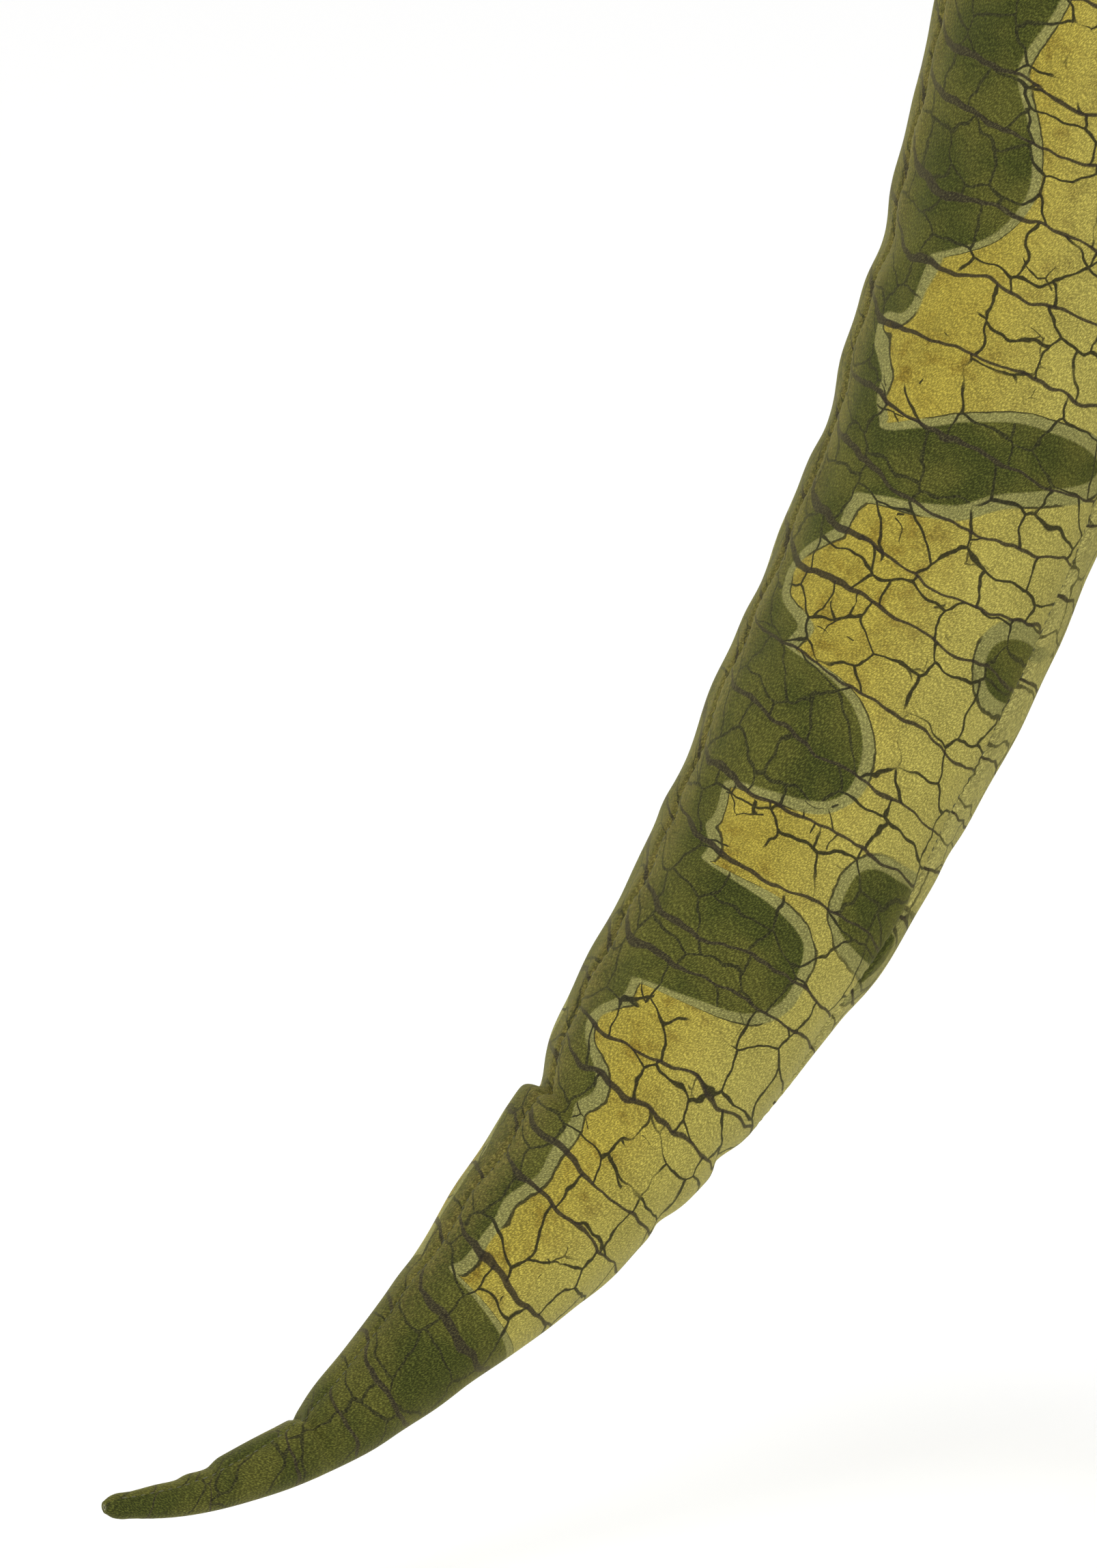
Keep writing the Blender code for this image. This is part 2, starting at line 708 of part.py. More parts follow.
def tail_point(s, turn, inset=0.0):
    """A point of the tail's skin, or of a surface inset below it, at a distance from the tip and a turn
    from the back seam, in degrees."""
    s, turn = np.broadcast_arrays(np.asarray(s, float), np.asarray(turn, float))
    at = tail_middle(s)
    ahead = tail_middle(s - AXIS_STEP)[..., :2] - tail_middle(s + AXIS_STEP)[..., :2]
    ahead /= np.linalg.norm(ahead, axis=-1, keepdims=True)
    angle = np.radians(turn + at[..., 4])
    side, ridge = at[..., 3] / 2 * np.sin(angle), at[..., 2] / 2 * np.cos(angle)
    radius = np.hypot(side, ridge)
    inset = np.minimum(inset, radius * TIP_WALL_SHARE)
    keep = 1 - (tail_dip(turn, s, radius) + inset) / radius
    side, ridge = side * keep, ridge * keep
    core = np.stack([np.zeros_like(s), at[..., 0], at[..., 1] - HOLD_HEIGHT], axis=-1)
    toward_back = np.stack([np.zeros_like(s), -ahead[..., 1], ahead[..., 0]], axis=-1)
    skin = core + toward_back * ridge[..., None]
    skin[..., 0] -= side
    return skin


def tail_start(turn, backs, inset, gap):
    """How far from the tip each line along the tail stands a gap clear of the seat."""
    length = tail_length()
    s = np.linspace(length * TAIL_HIDDEN_FROM, length, SEAT_SEARCH_STEPS)
    starts = []
    for angle in turn:
        line = tail_point(s, angle, inset)
        line[np.abs(line[:, 0]) < SEAM, 0] = 2 * SEAM
        hit = s[0]
        for a, b, t in zip(line[:-1], line[1:], s[:-1]):
            reach = np.linalg.norm(b - a)
            heading = (b - a) / reach
            found = [tree.ray_cast(a, heading, reach) for tree in backs]
            found = [d for _, _, _, d in found if d is not None]
            if found:
                hit = t + min(found)
                break
        starts.append(hit)
    starts = np.array(starts) - gap
    for _ in range(SEAT_PASSES):
        rim = tail_point(starts, turn, inset)
        for j in range(len(starts) - 1):
            chord = mix(rim[j], rim[j + 1], np.linspace(0, 1, SEAT_CHORD_STEPS)[:, None])
            short = gap - min(clearance(point, backs) for point in chord)
            starts[j : j + 2] -= max(short, 0)
    return starts


def clearance(point, trees):
    """How far a point stands out of the surfaces, less than 0 inside them."""
    near = [tree.find_nearest(point) for tree in trees]
    place, normal, _, _ = min(near, key=lambda found: found[3])
    return np.dot(point - np.array(place), normal)


def tail_rows():
    """Distances from the tip of the tail's rows, from the seat: closer towards the tip and at creases."""
    rows = [0.0]
    while rows[-1] < tail_length() * TAIL_HIDDEN_FROM:
        radius = tail_middle(rows[-1])[2] / 2
        rows.append(rows[-1] + np.clip(radius * ROW_STEP, ROW_LEAST, ROW_MOST))
    rows = np.array(rows)
    for crease in TAIL_CREASES:
        steps = DEEP_FOLD_ROWS if crease.depth > DEEP_CREASE else SHALLOW_FOLD_ROWS
        fold = crease.from_tip + crease.half * np.array(steps)
        apart = np.abs(rows[:, None] - fold[None]).min(axis=1)
        rows = np.concatenate([rows[apart > crease.half * FOLD_ROWS_APART], fold])
    point = GORE[0].from_tip
    rows = np.append(rows[np.abs(rows - point) > ROW_LEAST], point)
    return np.sort(rows)[::-1]


def tail_places(start, rows):
    """Distances from the tip, rows by lines: the last stretch is drawn out to where each line starts."""
    rows = rows[:, None]
    fixed = tail_length() * TAIL_FREE_FROM
    share = (rows - fixed) / (rows[0] - fixed)
    return np.where(rows > fixed, fixed + share * (start[None] - fixed), rows)


def tail_panel(name, edges, rows, backs, cloth):
    """One panel of the tail. edges gives its two seams' turns in degrees at a distance from the tip."""
    share = np.linspace(0, 1, TAIL_COLUMNS + 1)
    walls = []
    for inset in (0.0, CLOTH):
        begins, ends = edges(tail_length())
        start = tail_start(mix(begins, ends, share), backs, inset, TAIL_SEAT_GAP)
        s = tail_places(start, rows)
        begins, ends = edges(s)
        radius = tail_middle(s)[..., 2] / 2
        within = radius - np.minimum(CLOTH, radius * TIP_WALL_SHARE)
        squeeze = np.clip(np.degrees(SEAM / 2 / within), 0, TIP_MOST_SQUEEZE)
        turn = mix(begins + squeeze, ends - squeeze, share[None])
        walls.append(tail_point(s, turn, inset))
    return wall(name, *walls, cloth)


def tail_filling(backs, stuffing):
    """The stuffing inside the tail's panels, closed at both ends."""
    turn = np.linspace(0, 360, FILLING_TURNS + 1)
    inset = CLOTH + FILLING_CLEAR
    s = tail_places(tail_start(turn, backs, inset, FILLING_SEAT_CLEAR), tail_rows())
    s = s[s.min(axis=1) > FILLING_TIP]
    skin = tail_point(s, turn, inset)[:, :-1]
    rows, columns = skin.shape[:2]
    mesh = bmesh.new()
    points = [[mesh.verts.new(p) for p in row] for row in skin]
    for i in range(rows - 1):
        for j in range(columns):
            k = (j + 1) % columns
            mesh.faces.new((points[i][j], points[i][k], points[i + 1][k], points[i + 1][j]))
    mesh.faces.new(points[-1])
    rim = skin[0].mean(axis=0)
    ring = points[0]
    for share in FILLING_SEAT_RINGS:
        flat = rim + (skin[0] - rim) * share
        flat[:, 1] = [seat_depth(p, backs) for p in flat]
        smaller = [mesh.verts.new(p) for p in flat]
        for j in range(columns):
            k = (j + 1) % columns
            mesh.faces.new((ring[j], smaller[j], smaller[k], ring[k]))
        ring = smaller
    mesh.faces.new(ring)
    return finish("tail_filling", mesh, stuffing)


def seat_depth(point, backs):
    """Where the filling ends behind the seat."""
    aside = point[0] if abs(point[0]) > 2 * SEAM else 2 * SEAM
    origin = np.array([aside, BEHIND_SEAT, point[2]])
    found = [tree.ray_cast(origin, (0, -1, 0))[0] for tree in backs]
    return max(p[1] for p in found if p is not None) + FILLING_SEAT_CLEAR


def material(name, colour, roughness):
    made = bpy.data.materials.new(name)
    made.use_nodes = True
    shader = made.node_tree.nodes["Principled BSDF"]
    shader.inputs["Base Color"].default_value = (*colour, 1)
    shader.inputs["Roughness"].default_value = roughness
    shader.inputs["Metallic"].default_value = 0
    made.diffuse_color = (*colour, 1)
    return made


def tree_of(made):
    graph = bpy.context.evaluated_depsgraph_get()
    return BVHTree.FromObject(made, graph)


def build():
    for old in list(bpy.data.objects):
        bpy.data.objects.remove(old)
    side_cloth = material("printed velour", (0.22, 0.20, 0.05), 0.85)
    under_cloth = material("pale printed velour", (0.33, 0.29, 0.08), 0.85)
    stuffing = material("polyester stuffing", (0.85, 0.85, 0.82), 0.95)
    front_grid = back_grid = None
    backs = []
    for side in (1, -1):
        _, front_grid = body_panel(side, "front", side_cloth)
        made, back_grid = body_panel(side, "back", side_cloth)
        bpy.context.view_layer.update()
        backs.append(tree_of(made))
        sleeve(side, side_cloth)
    front_placket(front_grid, side_cloth)
    for side in (1, -1):
        hood_side(side, front_grid, back_grid, side_cloth)
    hood_centre(back_grid, side_cloth)
    rows = tail_rows()
    gore_rows = rows[rows >= GORE[0].from_tip]
    tail_panel("tail_side_right", lambda s: (0 * s, 180 - gore_half(s)), rows, backs, side_cloth)
    tail_panel("tail_side_left", lambda s: (gore_half(s) - 180, 0 * s), rows, backs, side_cloth)
    tail_panel(
        "tail_underside",
        lambda s: (180 - gore_half(s), 180 + gore_half(s)),
        gore_rows,
        backs,
        under_cloth,
    )
    tail_filling(backs, stuffing)


build()
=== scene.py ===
"""A child's dinosaur costume made up for its picture: printed velour panels with their seams, creases
and stitches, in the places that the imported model's solids hold.

Metres, +Z up, the front faces -Y and the wearer's left is +X. Heights in the tables are above the ground
that the wearer stands on; the frame's origin is HOLD_HEIGHT up. Each piece of cloth is a closed wall
CLOTH thick.
"""

import math
from typing import NamedTuple

import bpy
import numpy as np
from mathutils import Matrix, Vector
from mathutils.bvhtree import BVHTree


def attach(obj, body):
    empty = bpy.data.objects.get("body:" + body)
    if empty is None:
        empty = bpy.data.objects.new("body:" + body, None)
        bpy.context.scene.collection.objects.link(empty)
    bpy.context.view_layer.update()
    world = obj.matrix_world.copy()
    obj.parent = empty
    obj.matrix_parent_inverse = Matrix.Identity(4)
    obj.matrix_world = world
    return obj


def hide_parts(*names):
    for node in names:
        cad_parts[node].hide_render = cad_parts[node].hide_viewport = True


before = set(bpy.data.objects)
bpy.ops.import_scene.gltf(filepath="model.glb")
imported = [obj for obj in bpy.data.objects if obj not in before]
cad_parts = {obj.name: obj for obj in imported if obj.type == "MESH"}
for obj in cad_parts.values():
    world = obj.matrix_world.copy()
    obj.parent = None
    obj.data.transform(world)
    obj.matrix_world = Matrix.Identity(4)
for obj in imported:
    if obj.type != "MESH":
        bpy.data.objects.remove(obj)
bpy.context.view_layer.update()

SIDES = {1: "left", -1: "right"}
CLOTH = 0.002
HOLD_HEIGHT = 1.090

# The solids stand 0.3 mm apart at their seams. Here the cloth all but meets, so that no light passes
SEAM = 0.00001

# Heights of the jumpsuit's landmarks
HEM = 0.070
CROTCH = 0.560
SEAT = 0.700
UNDERARM = 0.964
SHOULDER_TIP = 1.080
NECK_SIDE = 1.120
NECK_FRONT = 1.075
NECK_BACK = 1.112

# Half widths and depths at the top
SHOULDER_HALF = 0.150
NECK_HALF = 0.072
ARMHOLE_DEPTH = 0.052
ARMHOLE_HOLLOW = 0.008
SHOULDER_ARCH = 0.005
FRONT_SHOULDER_ROW = 1.035
BACK_SHOULDER_ROW = 1.062
PLACKET_HALF = 0.015
SQUARE_HIPS = 2.4
ROUND_CHEST = 2.0

# Places inside the garment that its outer faces turn away from
BODY_MIDDLE = (0.05, 0.0, -0.4)
LEG_MIDDLE = 0.1
BEHIND_PLACKET = (0.0, 0.3, -0.3)
HEAD_MIDDLE = (0.0, 0.0, 0.12)
PLACKET_SIDE_LEAN = 0.5
PLACKET_LIFT = 0.0004
SHARP_ANGLE = 50


class Trunk(NamedTuple):
    """The jumpsuit's trunk at one height: half width at the sides, depth to the front and to the back."""

    height: float
    half: float
    front: float
    back: float


TRUNK = (
    Trunk(0.560, 0.160, 0.098, 0.104),
    Trunk(0.640, 0.159, 0.104, 0.114),
    Trunk(0.700, 0.154, 0.105, 0.110),
    Trunk(0.780, 0.148, 0.104, 0.095),
    Trunk(0.860, 0.148, 0.104, 0.091),
    Trunk(0.920, 0.151, 0.105, 0.094),
    Trunk(0.964, 0.155, 0.104, 0.098),
    Trunk(1.020, 0.157, 0.097, 0.098),
    Trunk(1.062, 0.153, 0.082, 0.090),
    Trunk(1.080, 0.150, 0.073, 0.082),
    Trunk(1.112, 0.150, 0.066, 0.058),
)


class Leg(NamedTuple):
    """A leg at one height: where its inner and outer seams lie, and its depth to the front and back."""

    height: float
    inner: float
    outer: float
    front: float
    back: float


LEG = (
    Leg(0.070, 0.042, 0.158, 0.057, 0.061),
    Leg(0.140, 0.040, 0.155, 0.059, 0.063),
    Leg(0.240, 0.033, 0.154, 0.064, 0.069),
    Leg(0.330, 0.027, 0.153, 0.071, 0.070),
    Leg(0.420, 0.018, 0.156, 0.082, 0.083),
    Leg(0.500, 0.008, 0.159, 0.092, 0.096),
    Leg(0.560, 0.0006, 0.160, 0.098, 0.104),
)


class Tail(NamedTuple):
    """The tail at one place on its middle line, from inside the seat to the tip: the place behind the
    wearer and its height, the thickness from back seam to underside, the width, and the twist in
    degrees."""

    behind: float
    height: float
    deep: float
    wide: float
    twist: float


TAIL = (
    Tail(0.0100, 0.7420, 0.1360, 0.1340, 0),
    Tail(0.0480, 0.7290, 0.1340, 0.1320, 0),
    Tail(0.0860, 0.7080, 0.1300, 0.1280, -1),
    Tail(0.1220, 0.6800, 0.1250, 0.1230, -4),
    Tail(0.1520, 0.6460, 0.1190, 0.1170, -7),
    Tail(0.1740, 0.6060, 0.1130, 0.1110, -9),
    Tail(0.1890, 0.5600, 0.1080, 0.1060, -11),
    Tail(0.2050, 0.5010, 0.1030, 0.1010, -13),
    Tail(0.2345, 0.4020, 0.1022, 0.1000, -13),
    Tail(0.2683, 0.3220, 0.0986, 0.0957, -11),
    Tail(0.2838, 0.2923, 0.0974, 0.0944, -12),
    Tail(0.3037, 0.2613, 0.0950, 0.0925, -7),
    Tail(0.3205, 0.2295, 0.0898, 0.0878, -6),
    Tail(0.3418, 0.2018, 0.0817, 0.0797, -4),
    Tail(0.3640, 0.1730, 0.0748, 0.0728, -4),
    Tail(0.3886, 0.1451, 0.0646, 0.0631, 7),
    Tail(0.4166, 0.1181, 0.0559, 0.0544, 9),
    Tail(0.4470, 0.0915, 0.0415, 0.0410, 10),
    Tail(0.4790, 0.0680, 0.0290, 0.0290, 21),
    Tail(0.5100, 0.0535, 0.0198, 0.0198, 36),
    Tail(0.5400, 0.0460, 0.0126, 0.0126, 41),
    Tail(0.5550, 0.0450, 0.0092, 0.0092, 42),
    Tail(0.5630, 0.0450, 0.0072, 0.0072, 42),
    Tail(0.5655, 0.0450, 0.0044, 0.0044, 42),
)


class Gore(NamedTuple):
    """The tail's underside panel: half its width round the tail, in degrees, by distance from the tip."""

    from_tip: float
    half: float


GORE = (
    Gore(0.205, 4.0),
    Gore(0.245, 20.0),
    Gore(0.290, 42.0),
    Gore(0.345, 46.0),
    Gore(0.420, 45.0),
    Gore(0.930, 46.0),
)
TAIL_SEAM_DIP = 0.0010
TAIL_SEAM_DIP_HALF = 0.0014
TAIL_SEAM_EASE = 0.0003
TAIL_SEAM_EASE_HALF = 0.0050
TAIL_SEAM_WANDER = 1.5
TAIL_SEAM_BREAKS = 0.029
TAIL_SEAM_SLACK_HALF = 0.012
TAIL_HEADING_STEP = 0.004
TAIL_SEAT_GAP = 0.0009
TAIL_HIDDEN_FROM = 0.72
TAIL_FREE_FROM = 0.62
SEAT_LOOKS = 90
SEAT_PASSES = 3
TIP_WALL_SHARE = 0.6
TIP_MOST_SQUEEZE = 12.0
TAIL_COLUMNS = 44
TAIL_EDGE_CROWDING = 0.62
ROW_STEP = 0.05
ROW_LEAST = 0.0006
ROW_MOST = 0.0011
FILLING_TURNS = 40
FILLING_CLEAR = 0.0026
FILLING_TIP = 0.030
FILLING_SEAT_CLEAR = 0.0032
FILLING_SEAT_RINGS = (0.78, 0.5, 0.2)
FILLING_ROWS_APART = 8
BEHIND_SEAT = 0.4


class Crease(NamedTuple):
    """A fold pressed into the tail: distance from the tip, angle from the back seam in degrees (towards the
    wearer's right), depth, how far it reaches towards the root and towards the tip, half spread round the
    tail in degrees, and how far it runs towards the tip over that spread."""

    from_tip: float
    angle: float
    depth: float
    root_side: float
    tip_side: float
    spread: float
    lean: float


TAIL_CREASES = (
    Crease(0.0275, -40, 0.0010, 0.0030, 0.0060, 60, 0.000),
    Crease(0.0393, -40, 0.0017, 0.0032, 0.0070, 60, 0.001),
    Crease(0.0385, 52, 0.0006, 0.0012, 0.0020, 34, -0.003),
    Crease(0.0440, 56, 0.0006, 0.0012, 0.0020, 34, -0.003),
    Crease(0.0765, -45, 0.0043, 0.0080, 0.0140, 50, 0.001),
    Crease(0.0762, -30, 0.0019, 0.0017, 0.0010, 60, 0.000),
    Crease(0.0752, 42, 0.0016, 0.0024, 0.0010, 36, 0.000),
    Crease(0.0722, 30, -0.0011, 0.0018, 0.0022, 50, 0.000),
    Crease(0.1080, 66, 0.0009, 0.0080, 0.0050, 50, 0.004),
    Crease(0.1460, -16, 0.0014, 0.0160, 0.0080, 50, 0.000),
    Crease(0.1760, 26, 0.0010, 0.0090, 0.0050, 40, 0.006),
    Crease(0.2175, -30, 0.0062, 0.0105, 0.0016, 34, 0.003),
    Crease(0.2110, 20, 0.0024, 0.0036, 0.0011, 26, 0.004),
    Crease(0.2040, 162, 0.0026, 0.0080, 0.0030, 30, 0.002),
    Crease(0.2310, 162, 0.0032, 0.0080, 0.0030, 30, 0.002),
    Crease(0.2700, 66, 0.0009, 0.0140, 0.0080, 50, 0.008),
    Crease(0.3450, -21, 0.0026, 0.0200, 0.0150, 40, 0.004),
    Crease(0.3900, 92, 0.0010, 0.0160, 0.0100, 45, 0.010),
    Crease(0.4650, -11, 0.0020, 0.0160, 0.0120, 45, 0.004),
    Crease(0.5330, -10, 0.0018, 0.0160, 0.0140, 45, 0.004),
    Crease(0.5900, 84, 0.0012, 0.0180, 0.0120, 50, 0.010),
    Crease(0.7000, 180, 0.0050, 0.0170, 0.0130, 60, 0.000),
    Crease(0.7350, 150, 0.0030, 0.0150, 0.0120, 50, 0.000),
    Crease(0.7200, -150, 0.0028, 0.0150, 0.0120, 50, 0.000),
)
SHARP_CREASE = 0.004
CREASE_ROWS = 20
CREASE_ROWS_REACH = 0.0055


class Arm(NamedTuple):
    """A sleeve's middle line, from the armhole to the cuff, with its radius there."""

    out: float
    back: float
    height: float
    radius: float


ARM = (
    Arm(0.1490, 0.000, 1.0220, 0.055),
    Arm(0.1760, 0.000, 1.0100, 0.057),
    Arm(0.2030, 0.002, 0.9790, 0.056),
    Arm(0.2340, 0.003, 0.9200, 0.052),
    Arm(0.2620, 0.002, 0.8600, 0.049),
    Arm(0.2880, -0.006, 0.8000, 0.046),
    Arm(0.3130, -0.020, 0.7400, 0.043),
    Arm(0.3310, -0.032, 0.6950, 0.042),
)
SLEEVE_ROWS = 76
SLEEVE_BLEND = 0.42
SLEEVE_CROWDING = 1.15
SLEEVE_STEP = 0.02
SLEEVE_ROUND = 0.045
SLEEVE_HALF_GIRTH = 0.150
ARMHOLE_TURNED_IN = 0.0030
ARMHOLE_FLAT = 0.004


class ArmFold(NamedTuple):
    """A soft ridge or trough of a sleeve: place along it from 0 at the armhole to 1 at the cuff, angle from
    its outer line in degrees (backwards above 0), how far it stands out, half length along, half spread
    round, and lean along over that spread."""

    place: float
    angle: float
    out: float
    half: float
    spread: float
    lean: float


ARM_FOLDS = (
    ArmFold(0.10, -60, 0.0030, 0.026, 60, 0.03),
    ArmFold(0.16, 110, 0.0035, 0.028, 60, -0.03),
    ArmFold(0.27, 160, -0.0028, 0.022, 55, 0.02),
    ArmFold(0.42, -120, 0.0038, 0.024, 60, 0.03),
    ArmFold(0.48, -150, -0.0034, 0.018, 50, -0.02),
    ArmFold(0.53, -90, 0.0042, 0.022, 65, 0.02),
    ArmFold(0.59, -140, -0.0032, 0.018, 50, 0.02),
    ArmFold(0.65, -60, 0.0034, 0.024, 60, -0.03),
    ArmFold(0.74, 80, 0.0028, 0.022, 60, 0.03),
    ArmFold(0.84, -30, 0.0032, 0.020, 70, 0.02),
    ArmFold(0.90, 140, 0.0030, 0.018, 60, -0.02),
)


class Profile(NamedTuple):
    """The hood's centre strip at its seam, from the nape over the crown to the brow."""

    back: float
    height: float


HOOD_PROFILE = (
    Profile(0.0490, 1.1180),
    Profile(0.0640, 1.1400),
    Profile(0.0930, 1.1820),
    Profile(0.1060, 1.2350),
    Profile(0.0920, 1.2900),
    Profile(0.0500, 1.3310),
    Profile(-0.0060, 1.3430),
    Profile(-0.0570, 1.3280),
    Profile(-0.0900, 1.3000),
)


class FaceEdge(NamedTuple):
    """The hood's free edge round the face, from the neck to the brow."""

    out: float
    back: float
    height: float


FACE_EDGE = (
    FaceEdge(0.0150, -0.0740, 1.0770),
    FaceEdge(0.0400, -0.0860, 1.1020),
    FaceEdge(0.0660, -0.0920, 1.1380),
    FaceEdge(0.0800, -0.0960, 1.1820),
    FaceEdge(0.0800, -0.0990, 1.2300),
    FaceEdge(0.0650, -0.0980, 1.2740),
    FaceEdge(0.0400, -0.0900, 1.3000),
)
HOOD_FULLNESS = 0.046
HOOD_FULLNESS_POWER = 0.8
HOOD_CROWN_RISE = 0.006
HOOD_ROWS = 36
HOOD_FACE_COLUMNS = 44
HOOD_CORNER = 0.06
HOOD_MIDDLE = 0.125
NECK_TURNED_IN = 0.0025
HOOD_STRIP_ROWS = 84
NAPE_BLEND = 0.2

# Grid rows of a front or back in each zone, and columns from the centre to the side
LEG_ROWS = 92
SEAT_ROWS = 28
TRUNK_ROWS = 46
ARMHOLE_ROWS = 36
SHOULDER_ROWS = 12
BODY_COLUMNS = 48
PLACKET_COLUMNS = 4
STRIP_COLUMN = 18


class Slack(NamedTuple):
    """A soft ridge where the cloth is slack, or a trough if out is below 0: height, lean (rise across the
    panel), how far it stands out, half length up and down, and where across the panel it begins and
    ends."""

    height: float
    lean: float
    out: float
    half: float
    begins: float
    ends: float


FRONT_SLACK = (
    Slack(0.110, 0.020, 0.005, 0.022, 0.05, 0.85),
    Slack(0.175, -0.025, 0.004, 0.024, 0.25, 1.00),
    Slack(0.325, 0.030, 0.004, 0.026, 0.10, 0.80),
    Slack(0.790, -0.030, 0.004, 0.028, 0.30, 1.00),
    Slack(0.092, -0.010, 0.0024, 0.009, 0.30, 1.00),
    Slack(0.140, 0.022, -0.0026, 0.010, 0.10, 0.70),
    Slack(0.215, 0.018, -0.0020, 0.012, 0.15, 0.80),
    Slack(0.285, -0.035, 0.0026, 0.012, 0.30, 1.00),
    Slack(0.352, 0.016, -0.0030, 0.011, 0.05, 0.60),
    Slack(0.385, -0.030, 0.0026, 0.013, 0.20, 0.95),
    Slack(0.480, 0.060, 0.0030, 0.013, 0.00, 0.70),
    Slack(0.520, 0.080, -0.0028, 0.012, 0.00, 0.65),
    Slack(0.560, 0.090, 0.0034, 0.013, 0.02, 0.75),
    Slack(0.655, 0.020, 0.0024, 0.018, 0.30, 1.00),
    Slack(0.735, -0.024, 0.0030, 0.015, 0.20, 0.95),
    Slack(0.760, 0.010, -0.0024, 0.012, 0.35, 1.00),
    Slack(0.836, 0.030, 0.0026, 0.017, 0.35, 1.00),
    Slack(0.905, 0.050, 0.0028, 0.016, 0.50, 1.00),
)
BACK_SLACK = (
    Slack(0.120, -0.020, 0.005, 0.022, 0.10, 0.95),
    Slack(0.300, 0.035, 0.006, 0.024, 0.05, 0.90),
    Slack(0.370, -0.030, 0.005, 0.026, 0.20, 0.95),
    Slack(0.840, 0.040, 0.004, 0.030, 0.35, 1.00),
    Slack(0.090, 0.012, 0.0024, 0.009, 0.05, 0.70),
    Slack(0.152, 0.020, -0.0028, 0.010, 0.25, 1.00),
    Slack(0.225, -0.020, 0.0022, 0.014, 0.10, 0.80),
    Slack(0.270, 0.020, -0.0030, 0.011, 0.10, 0.90),
    Slack(0.335, -0.010, -0.0040, 0.012, 0.05, 0.85),
    Slack(0.405, 0.040, 0.0026, 0.013, 0.00, 0.60),
    Slack(0.480, 0.070, 0.0032, 0.014, 0.02, 0.80),
    Slack(0.530, 0.080, -0.0030, 0.012, 0.00, 0.70),
    Slack(0.745, -0.020, 0.0028, 0.016, 0.30, 1.00),
    Slack(0.790, 0.022, -0.0026, 0.013, 0.25, 0.95),
    Slack(0.895, -0.030, 0.0026, 0.017, 0.40, 1.00),
)
HOOD_SLACK = (
    Slack(0.10, 0.06, 0.0030, 0.030, 0.30, 1.00),
    Slack(0.19, -0.05, -0.0030, 0.022, 0.45, 1.00),
    Slack(0.30, 0.07, 0.0040, 0.028, 0.40, 1.00),
    Slack(0.42, -0.06, 0.0034, 0.030, 0.50, 1.00),
    Slack(0.52, 0.04, -0.0026, 0.026, 0.30, 0.90),
    Slack(0.72, 0.05, 0.0022, 0.040, 0.10, 0.80),
)
SIDE_SHIFT = 0.007
FOLD_STRENGTH = 1.3
CRUMPLE = 0.0007

# Where the pieces off the tail lie along the printed cloth: past all that belongs to the tail's tip
SLEEVE_CLOTH_AT = 1.0
BODY_CLOTH_AT = 3.0
HOOD_CLOTH_AT = 5.0
HOOD_STRIP_CLOTH_AT = 5.2
HOOD_CLOTH_ACROSS = 0.3
EDGE_REACH = 0.014
ARMHOLE_REACH = 0.03
HOOD_SEAM_REACH = 0.03
HOOD_EDGE_REACH = 0.02

# Seams and hems in the cloth
SEAM_DIP = 0.0012
SEAM_DIP_HALF = 0.0036
PUCKER = 0.0005
PUCKER_HALF = 0.0042
PUCKER_PITCH = 0.0034
HEM_DEPTH = 0.018
HEM_RISE = 0.0006
HEM_STEP = 0.0015
HEM_GATHER_HALF = 0.009
HEM_STITCH_AT = (0.0135, 0.0165)
PLACKET_STITCH_AT = 0.004
STITCH_DENT = 0.0005
STITCH_DENT_HALF = 0.0011

# Stitches
STITCH_LONG = 0.0021
STITCH_THICK = 0.0005
STITCH_PITCH = 0.0032
STITCH_SUNK = 0.25
TAIL_STITCH_TIP = 0.006
TAIL_STITCH_STEP = 0.002
TAIL_STITCH_END = 0.80
TAIL_STITCH_CLEAR = 0.001
CUFF_ROWS = 16


def smooth(x):
    """0 below 0, 1 above 1, and an even S between."""
    x = np.clip(x, 0.0, 1.0)
    return x * x * (3 - 2 * x)


def mix(a, b, t):
    return a + (b - a) * t


def bell(x):
    """1 at 0, falling away evenly on both sides."""
    return np.exp(-(x**2))


def curve(table, at, x):
    """The columns of a table at x, on a smooth curve through the rows, whose places are the list at."""
    rows = np.array(table, float)
    at = np.asarray(at, float)
    x = np.clip(np.asarray(x, float), at[0], at[-1])
    slope = np.gradient(rows, at, axis=0)
    i = np.clip(np.searchsorted(at, x, side="right") - 1, 0, len(at) - 2)
    step = (at[i + 1] - at[i])[..., None]
    t = (x - at[i])[..., None] / step
    return (
        rows[i] * (1 + 2 * t) * (1 - t) ** 2
        + slope[i] * step * t * (1 - t) ** 2
        + rows[i + 1] * t * t * (3 - 2 * t)
        - slope[i + 1] * step * t * t * (1 - t)
    )


def lengths(points):
    """The distance along a line of points, from its first."""
    steps = np.linalg.norm(np.diff(points, axis=0), axis=1)
    return np.concatenate([[0.0], np.cumsum(steps)])


def by_height(table, height):
    rows = np.array(table, float)
    return curve(rows[:, 1:], rows[:, 0], height)


def by_share(table, share):
    """The columns of a line's table at a share of the line's length."""
    at = lengths(np.array(table, float)[:, :3])
    return curve(table, at / at[-1], share)


def rumple(a, b, seed):
    """An uneven gentle swell from about -1 to 1 over a surface measured in metres."""
    out = 0.0
    for k in range(6):
        angle = seed + 2.4 * k
        reach = 0.062 / (1 + 0.5 * k)
        out = out + np.sin(
            2 * np.pi * (a * np.cos(angle) + b * np.sin(angle)) / reach + seed * (k + 1)
        ) / (1 + 0.5 * k)
    return out / 2.2


